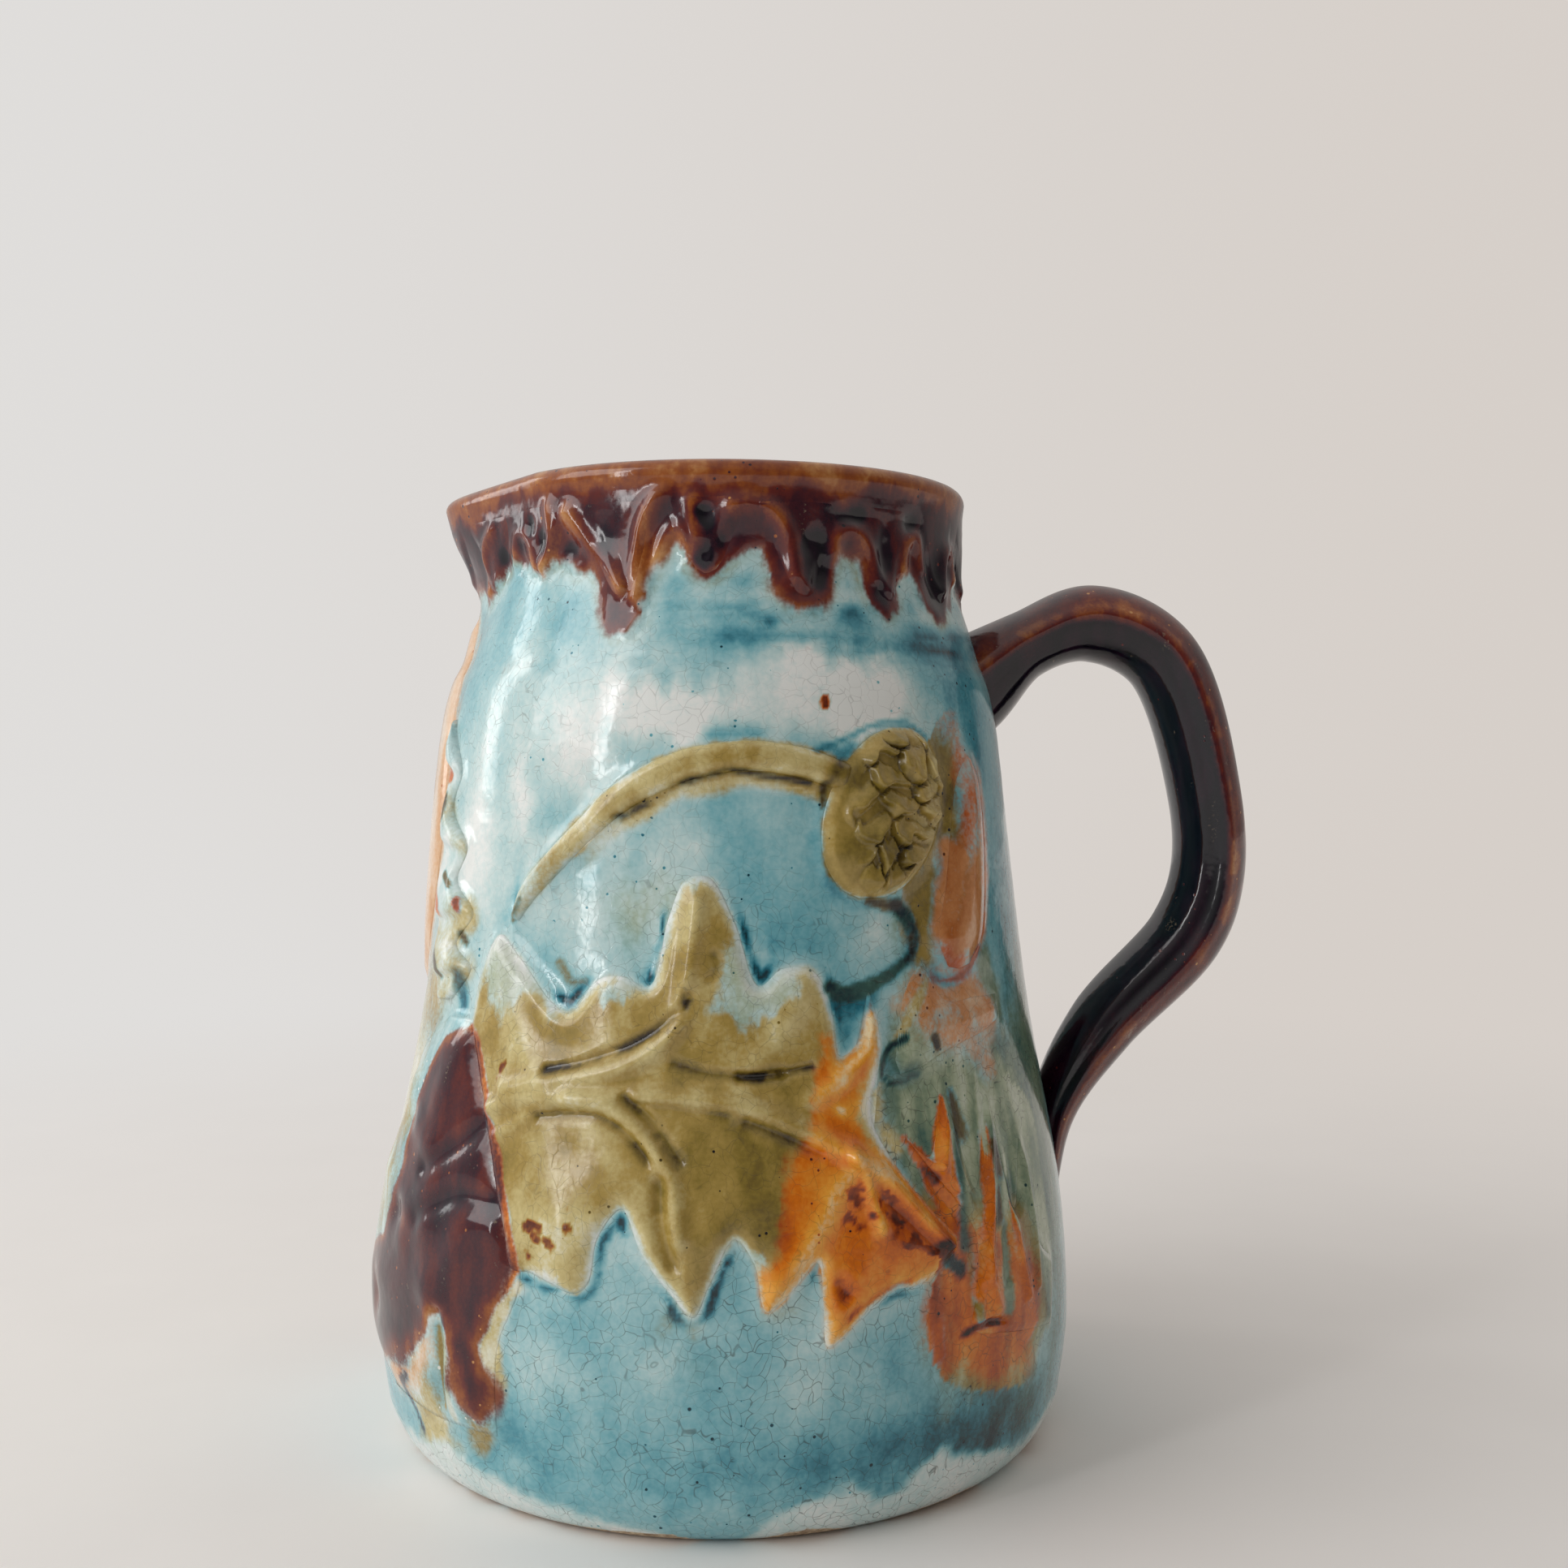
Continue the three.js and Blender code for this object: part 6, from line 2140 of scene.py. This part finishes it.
@dataclass
class StrapHandle:
    """The pulled strap handle, luted on under the rim and at the flank."""

    shop: Workshop
    root_height: float = 136.1
    width: float = 19.0
    root_width: float = 22.0
    root_thickness: float = 19.0
    root_depth: float = 3.5
    tail_width: float = 11.0
    tail_thickness: float = 4.6
    tail_height: float = 40.0
    loop: tuple[Spot, ...] = (
        (8.0, 6.6, 12.8), (20.4, 10.6, 14.4), (33.6, 4.2, 14.2), (42.2, -21.6, 13.2),
        (42.8, -37.0, 13.4), (38.8, -48.0, 13.8), (23.0, -65.0, 12.4))
    ring_count: int = 260
    sides: int = 72

    def stations(self) -> tuple[Array, Array]:
        """Stations from the root inside the wall to the tail.

        Returns:
            Places as x and z, and sizes as width and thickness.
        """
        reach = self.shop.wall.radius
        wall = float(reach(np.array(self.root_height)))
        places = [(wall - self.root_depth, self.root_height - self.root_depth / 2.0)]
        places += [(wall + out, self.root_height + up) for out, up, _ in self.loop]
        sizes = [(self.root_width, self.root_thickness)]
        sizes += [(self.width, thick) for _, _, thick in self.loop]
        heel_z = (self.root_height + self.loop[-1][1] + self.tail_height) / 2.0
        heel_thick = (self.loop[-1][2] + self.tail_thickness) / 2.0
        places.append((float(reach(np.array(heel_z))) + heel_thick / 4.0, heel_z))
        sizes.append(((self.width + self.tail_width) / 2.0, heel_thick))
        tail = float(reach(np.array(self.tail_height)))
        places.append((tail - self.tail_thickness / 2.0, self.tail_height))
        sizes.append((self.tail_width, self.tail_thickness))
        return np.array(places), np.array(sizes)

    def mesh(self) -> ClayMesh:
        """Sweep the ridged oval section along the path."""
        places, sizes = self.stations()
        shares = np.linspace(0.0, 1.0, self.ring_count)
        path = even_spline(places, shares)
        size = plain_spline(sizes, shares)
        way = np.gradient(path, axis=0)
        way /= np.linalg.norm(way, axis=1)[:, None]
        outward = np.stack([-way[:, 1], way[:, 0]], axis=-1)
        angle = np.linspace(0.0, 2.0 * math.pi, self.sides, endpoint=False)[None, :]
        cosine, sine = np.cos(angle), np.sin(angle)
        flat = np.sign(cosine) * np.abs(cosine) ** 1.15
        slant = np.degrees(np.arccos(np.clip(cosine, -1.0, 1.0)))
        swell = 1.0 + 0.05 * fade(slant - 74.0, 10.0) - 0.07 * fade(slant - 104.0, 13.0)
        belly = size[:, 1:2] / 2.0 * flat * swell
        breadth = size[:, 0:1] / 2.0 * sine * swell
        x = path[:, 0:1] + outward[:, 0:1] * belly
        z = path[:, 1:2] + outward[:, 1:2] * belly
        points = np.stack([x.T, breadth.T, z.T], axis=-1)
        coats = self.coats(points, np.broadcast_to(slant.T, x.T.shape)).columns()
        poles = np.stack([points[:, 0].mean(axis=0), points[:, -1].mean(axis=0)])
        return ClayMesh.capped(points.reshape(-1, 3), coats, self.sides, poles)

    def coats(self, points: Array, slant: Array) -> Coats:
        """Lay treacle, near black inside the loop and amber along the ridge of each side.

        Args:
            points: Points of the strap.
            slant: Angle of each point from the outer face of the strap.

        Returns:
            The coats.
        """
        noise = self.shop.noise
        broad, fine = noise.cloud(points, 14.0, 41), noise.cloud(points, 3.0, 42)
        streak = noise.cloud(points * np.array([0.4, 1.6, 0.4]), 5.0, 43)
        coats = Coats(0.56 + 0.08 * broad + 0.08 * streak)
        inner = rise(78.0, 92.0, slant + 5.0 * streak)
        ridge = fade(slant - 66.0, 14.0)
        coats.pool(ridge, 0.4 + 0.1 * streak + 0.1 * fine)
        coats.pool(rise(0.3, 0.7, fine + 0.4 * streak) * ridge, 0.22)
        coats.pool(inner, 0.94 + 0.06 * broad)
        pale = fade(points[..., 2] - 68.0, 6.0) * fade(slant - 62.0, 10.0) * rise(-0.4, 0.2, broad)
        coats.treacle += 1.0 - 0.85 * pale
        coats.pool(0.9 * pale, 0.1)
        return coats

    def build(self) -> None:
        """Make the handle."""
        self.shop.set_down(self.mesh(), "handle", Glaze.TREACLE)


def ornament(shop: Workshop) -> list[Sprig]:
    """The sprigs on the two faces and under the spout, in the order in which they were glazed."""
    stem = strip_stations(shop.wall, STEM_PATH, STEM_HALVES)
    return [
        VeinedLeaf(shop, "leaf", Glaze.OLIVE, LEAF_STATIONS, 11, 54, 1.1, 0.8, 2.0, 6.0,
                   LEAF_VEINS, LEAF_DIMPLES),
        SpoutLeaf(shop, "spout_leaf", Glaze.TREACLE, SPOUT_LEAF_STATIONS, 16, 44, 0.9, 1.7, 4.6, 9.0,
                  SPOUT_LEAF_VEINS, SPOUT_LEAF_DIMPLES, crispness=0.0),
        SideLeaf(shop, "side_leaf", Glaze.SAGE, SIDE_LEAF_STATIONS, 16, 30, 0.9, 0.5, 1.6, 3.0,
                 SIDE_LEAF_VEINS),
        Frond(shop, "frond", Glaze.OLIVE, FROND_STATIONS, 14, 16, 0.8, 1.5, 1.4),
        Stem(shop, "stem", Glaze.OLIVE, stem, 24, 12, 0.9, 0.8, 1.3),
        Husk(shop, "husk", Glaze.SAGE, HUSK_STATIONS, 12, 14, 0.6, 0.7, 2.2, 3.0),
        Pod(shop, "pod", Glaze.PEACH, POD_STATIONS, 20, 20, 0.6, 1.5, 3.2, 4.0, strokes=POD_STROKES_AND_BUD_SHADOW),
        Pod(shop, "spout_pod", Glaze.PEACH, SPOUT_POD_STATIONS, 20, 24, 0.8, 1.8, 2.6, 6.0,
            paired=False, depth=0.2),
        Bud(shop, "bud", Glaze.OLIVE, bud_stations(), 24, 60, 1.1, 1.6, 1.8),
    ]


@dataclass
class Studio:
    """Camera, soft light and pale floor."""

    camera_place: Spot = (0.0, -0.3134, 0.1237)
    pitch: float = -1.34
    yaw: float = 1.94
    roll: float = 0.18
    focal_pixels: float = 2058.0
    left_code: str = "e0dedc"
    right_code: str = "d6cfc9"
    front_sheen: float = 0.16

    def camera(self) -> None:
        """Stand the camera where the photograph was taken."""
        data = bpy.data.cameras.new("photo_camera")
        data.sensor_width = SENSOR_WIDTH
        data.lens = SENSOR_WIDTH * self.focal_pixels / PHOTO_PIXELS
        data.clip_start = 0.01
        pitch, yaw, roll = (math.radians(a) for a in (self.pitch, self.yaw, self.roll))
        ahead = Vector((math.sin(yaw) * math.cos(pitch), math.cos(yaw) * math.cos(pitch), math.sin(pitch)))
        right = Vector((math.cos(yaw), -math.sin(yaw), 0.0))
        up = right.cross(ahead)
        leaned_right = right * math.cos(roll) + up * math.sin(roll)
        leaned_up = up * math.cos(roll) - right * math.sin(roll)
        turned = Matrix((leaned_right, leaned_up, -ahead)).transposed().to_4x4()
        camera = bpy.data.objects.new("photo_camera", data)
        camera.matrix_world = Matrix.Translation(self.camera_place) @ turned
        bpy.context.scene.collection.objects.link(camera)
        bpy.context.scene.camera = camera

    def lamp(self, name: str, place: Spot, size: Pair, watts: float, aim: Spot) -> None:
        """Hang one soft rectangular lamp.

        Args:
            name: Name of the lamp.
            place: Its middle in metres.
            size: Its width and height in metres.
            watts: Its power.
            aim: Point that it faces.
        """
        data = bpy.data.lights.new(name, "AREA")
        data.shape = "RECTANGLE"
        data.size, data.size_y = size
        data.energy = watts
        lamp = bpy.data.objects.new(name, data)
        lamp.location = place
        lamp.rotation_euler = (Vector(aim) - Vector(place)).to_track_quat("-Z", "Y").to_euler()
        bpy.context.scene.collection.objects.link(lamp)

    def room_colour(self, bench: NodeBench, way: Value) -> Socket:
        """Colour of the pale room from its left to its right."""
        parts = bench.node("ShaderNodeSeparateXYZ", None, Vector=way)
        across = bench.step(parts.outputs["X"], -0.5, 0.5)
        return bench.mix(across, linear(self.left_code), linear(self.right_code))

    def floor(self) -> None:
        """Lay the pale floor, which fades into the room far from the jug."""
        data = bpy.data.meshes.new("pale_floor")
        corners = ((-1, -1), (1, -1), (1, 1), (-1, 1))
        data.from_pydata([(x * FLOOR_HALF, y * FLOOR_HALF, 0) for x, y in corners], [], [(0, 1, 2, 3)])
        material = bpy.data.materials.new("pale_floor")
        material.use_nodes = True
        bench = NodeBench(material.node_tree)
        shader = material.node_tree.nodes["Principled BSDF"]
        place = bench.clay_place()
        grain = bench.noise(place, 30.0, 4.0).outputs["Fac"]
        bench.wire(bench.mix(grain, linear("f1eeeb"), linear("f6f3f0")), shader.inputs["Base Color"])
        shader.inputs["Roughness"].default_value = 0.75
        away = bench.node("ShaderNodeVectorMath", {"operation": "LENGTH"})
        bench.wire(place, away.inputs[0])
        far = bench.step(away.outputs["Value"], 0.1, 0.55)
        glow = bench.node("ShaderNodeEmission", None, Strength=1.0)
        toward = bench.vector("NORMALIZE", place, (0.0, 0.0, 0.0))
        bench.wire(self.room_colour(bench, toward), glow.inputs["Color"])
        ray = bench.node("ShaderNodeLightPath").outputs
        seen = bench.largest(ray["Is Camera Ray"], ray["Is Glossy Ray"], ray["Is Transmission Ray"])
        blend = bench.node("ShaderNodeMixShader")
        bench.wire(bench.times(far, seen), blend.inputs[0])
        bench.wire(shader.outputs[0], blend.inputs[1])
        bench.wire(glow.outputs[0], blend.inputs[2])
        bench.wire(blend.outputs[0], material.node_tree.nodes["Material Output"].inputs["Surface"])
        data.materials.append(material)
        floor = bpy.data.objects.new("pale_floor", data)
        bpy.context.scene.collection.objects.link(floor)

    def room(self) -> None:
        """Light the pale room, bright on the left and above, dim on the camera's side."""
        world = bpy.data.worlds.new("pale_room")
        world.use_nodes = True
        bench = NodeBench(world.node_tree)
        ray = bench.node("ShaderNodeLightPath").outputs
        way = bench.node("ShaderNodeTexCoord").outputs["Generated"]
        parts = bench.node("ShaderNodeSeparateXYZ", None, Vector=way).outputs
        behind = bench.times(bench.step(parts["Y"], -0.5, 0.5), 0.42)
        left = bench.times(bench.step(parts["X"], 0.2, -0.9), 0.4)
        over = bench.times(bench.step(parts["Z"], 0.1, 0.9), 0.5)
        glow = bench.plus(bench.plus(behind, left), bench.plus(over, 0.1))
        background = world.node_tree.nodes["Background"]
        shiny = bench.times(ray["Is Glossy Ray"], self.front_sheen)
        plain = bench.largest(ray["Is Camera Ray"], shiny, ray["Is Transmission Ray"])
        bench.wire(bench.math("MAXIMUM", glow, plain), background.inputs["Strength"])
        bench.wire(self.room_colour(bench, way), background.inputs["Color"])
        bpy.context.scene.world = world

    def build(self) -> None:
        """Set up the studio."""
        bpy.context.scene.view_settings.view_transform = "Standard"
        self.camera()
        self.floor()
        self.room()
        middle = (0.0, 0.0, 0.09)
        self.lamp("left_window", (-1.0, -0.83, 0.30), (0.11, 0.3), 0.95, middle)
        self.lamp("left_window_upper", (-1.0, -0.83, 0.64), (0.11, 0.3), 0.85, middle)
        self.lamp("left_sky", (-1.3, -0.5, 0.9), (1.1, 1.0), 9.0, middle)
        self.lamp("back_window", (-1.1, 0.42, 0.5), (0.2, 0.6), 1.2, middle)


def main() -> None:
    """Build the jug piece by piece inside its studio."""
    logging.basicConfig(level=logging.INFO, format="%(message)s")
    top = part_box("jug_body")[1].z / MM
    shop = Workshop(Wall(height=round(top, 3)), ClayNoise(), GlazeKitchen())
    Studio().build()
    sprigs = ornament(shop)
    brushwork = Brushwork(shop, sprigs, RimGlaze(shop))
    JugBody(shop, brushwork).build()
    StrapHandle(shop).build()
    RimCollar(shop, brushwork).build()
    for sprig in sprigs:
        sprig.build(brushwork)


if __name__ == "__main__":
    main()
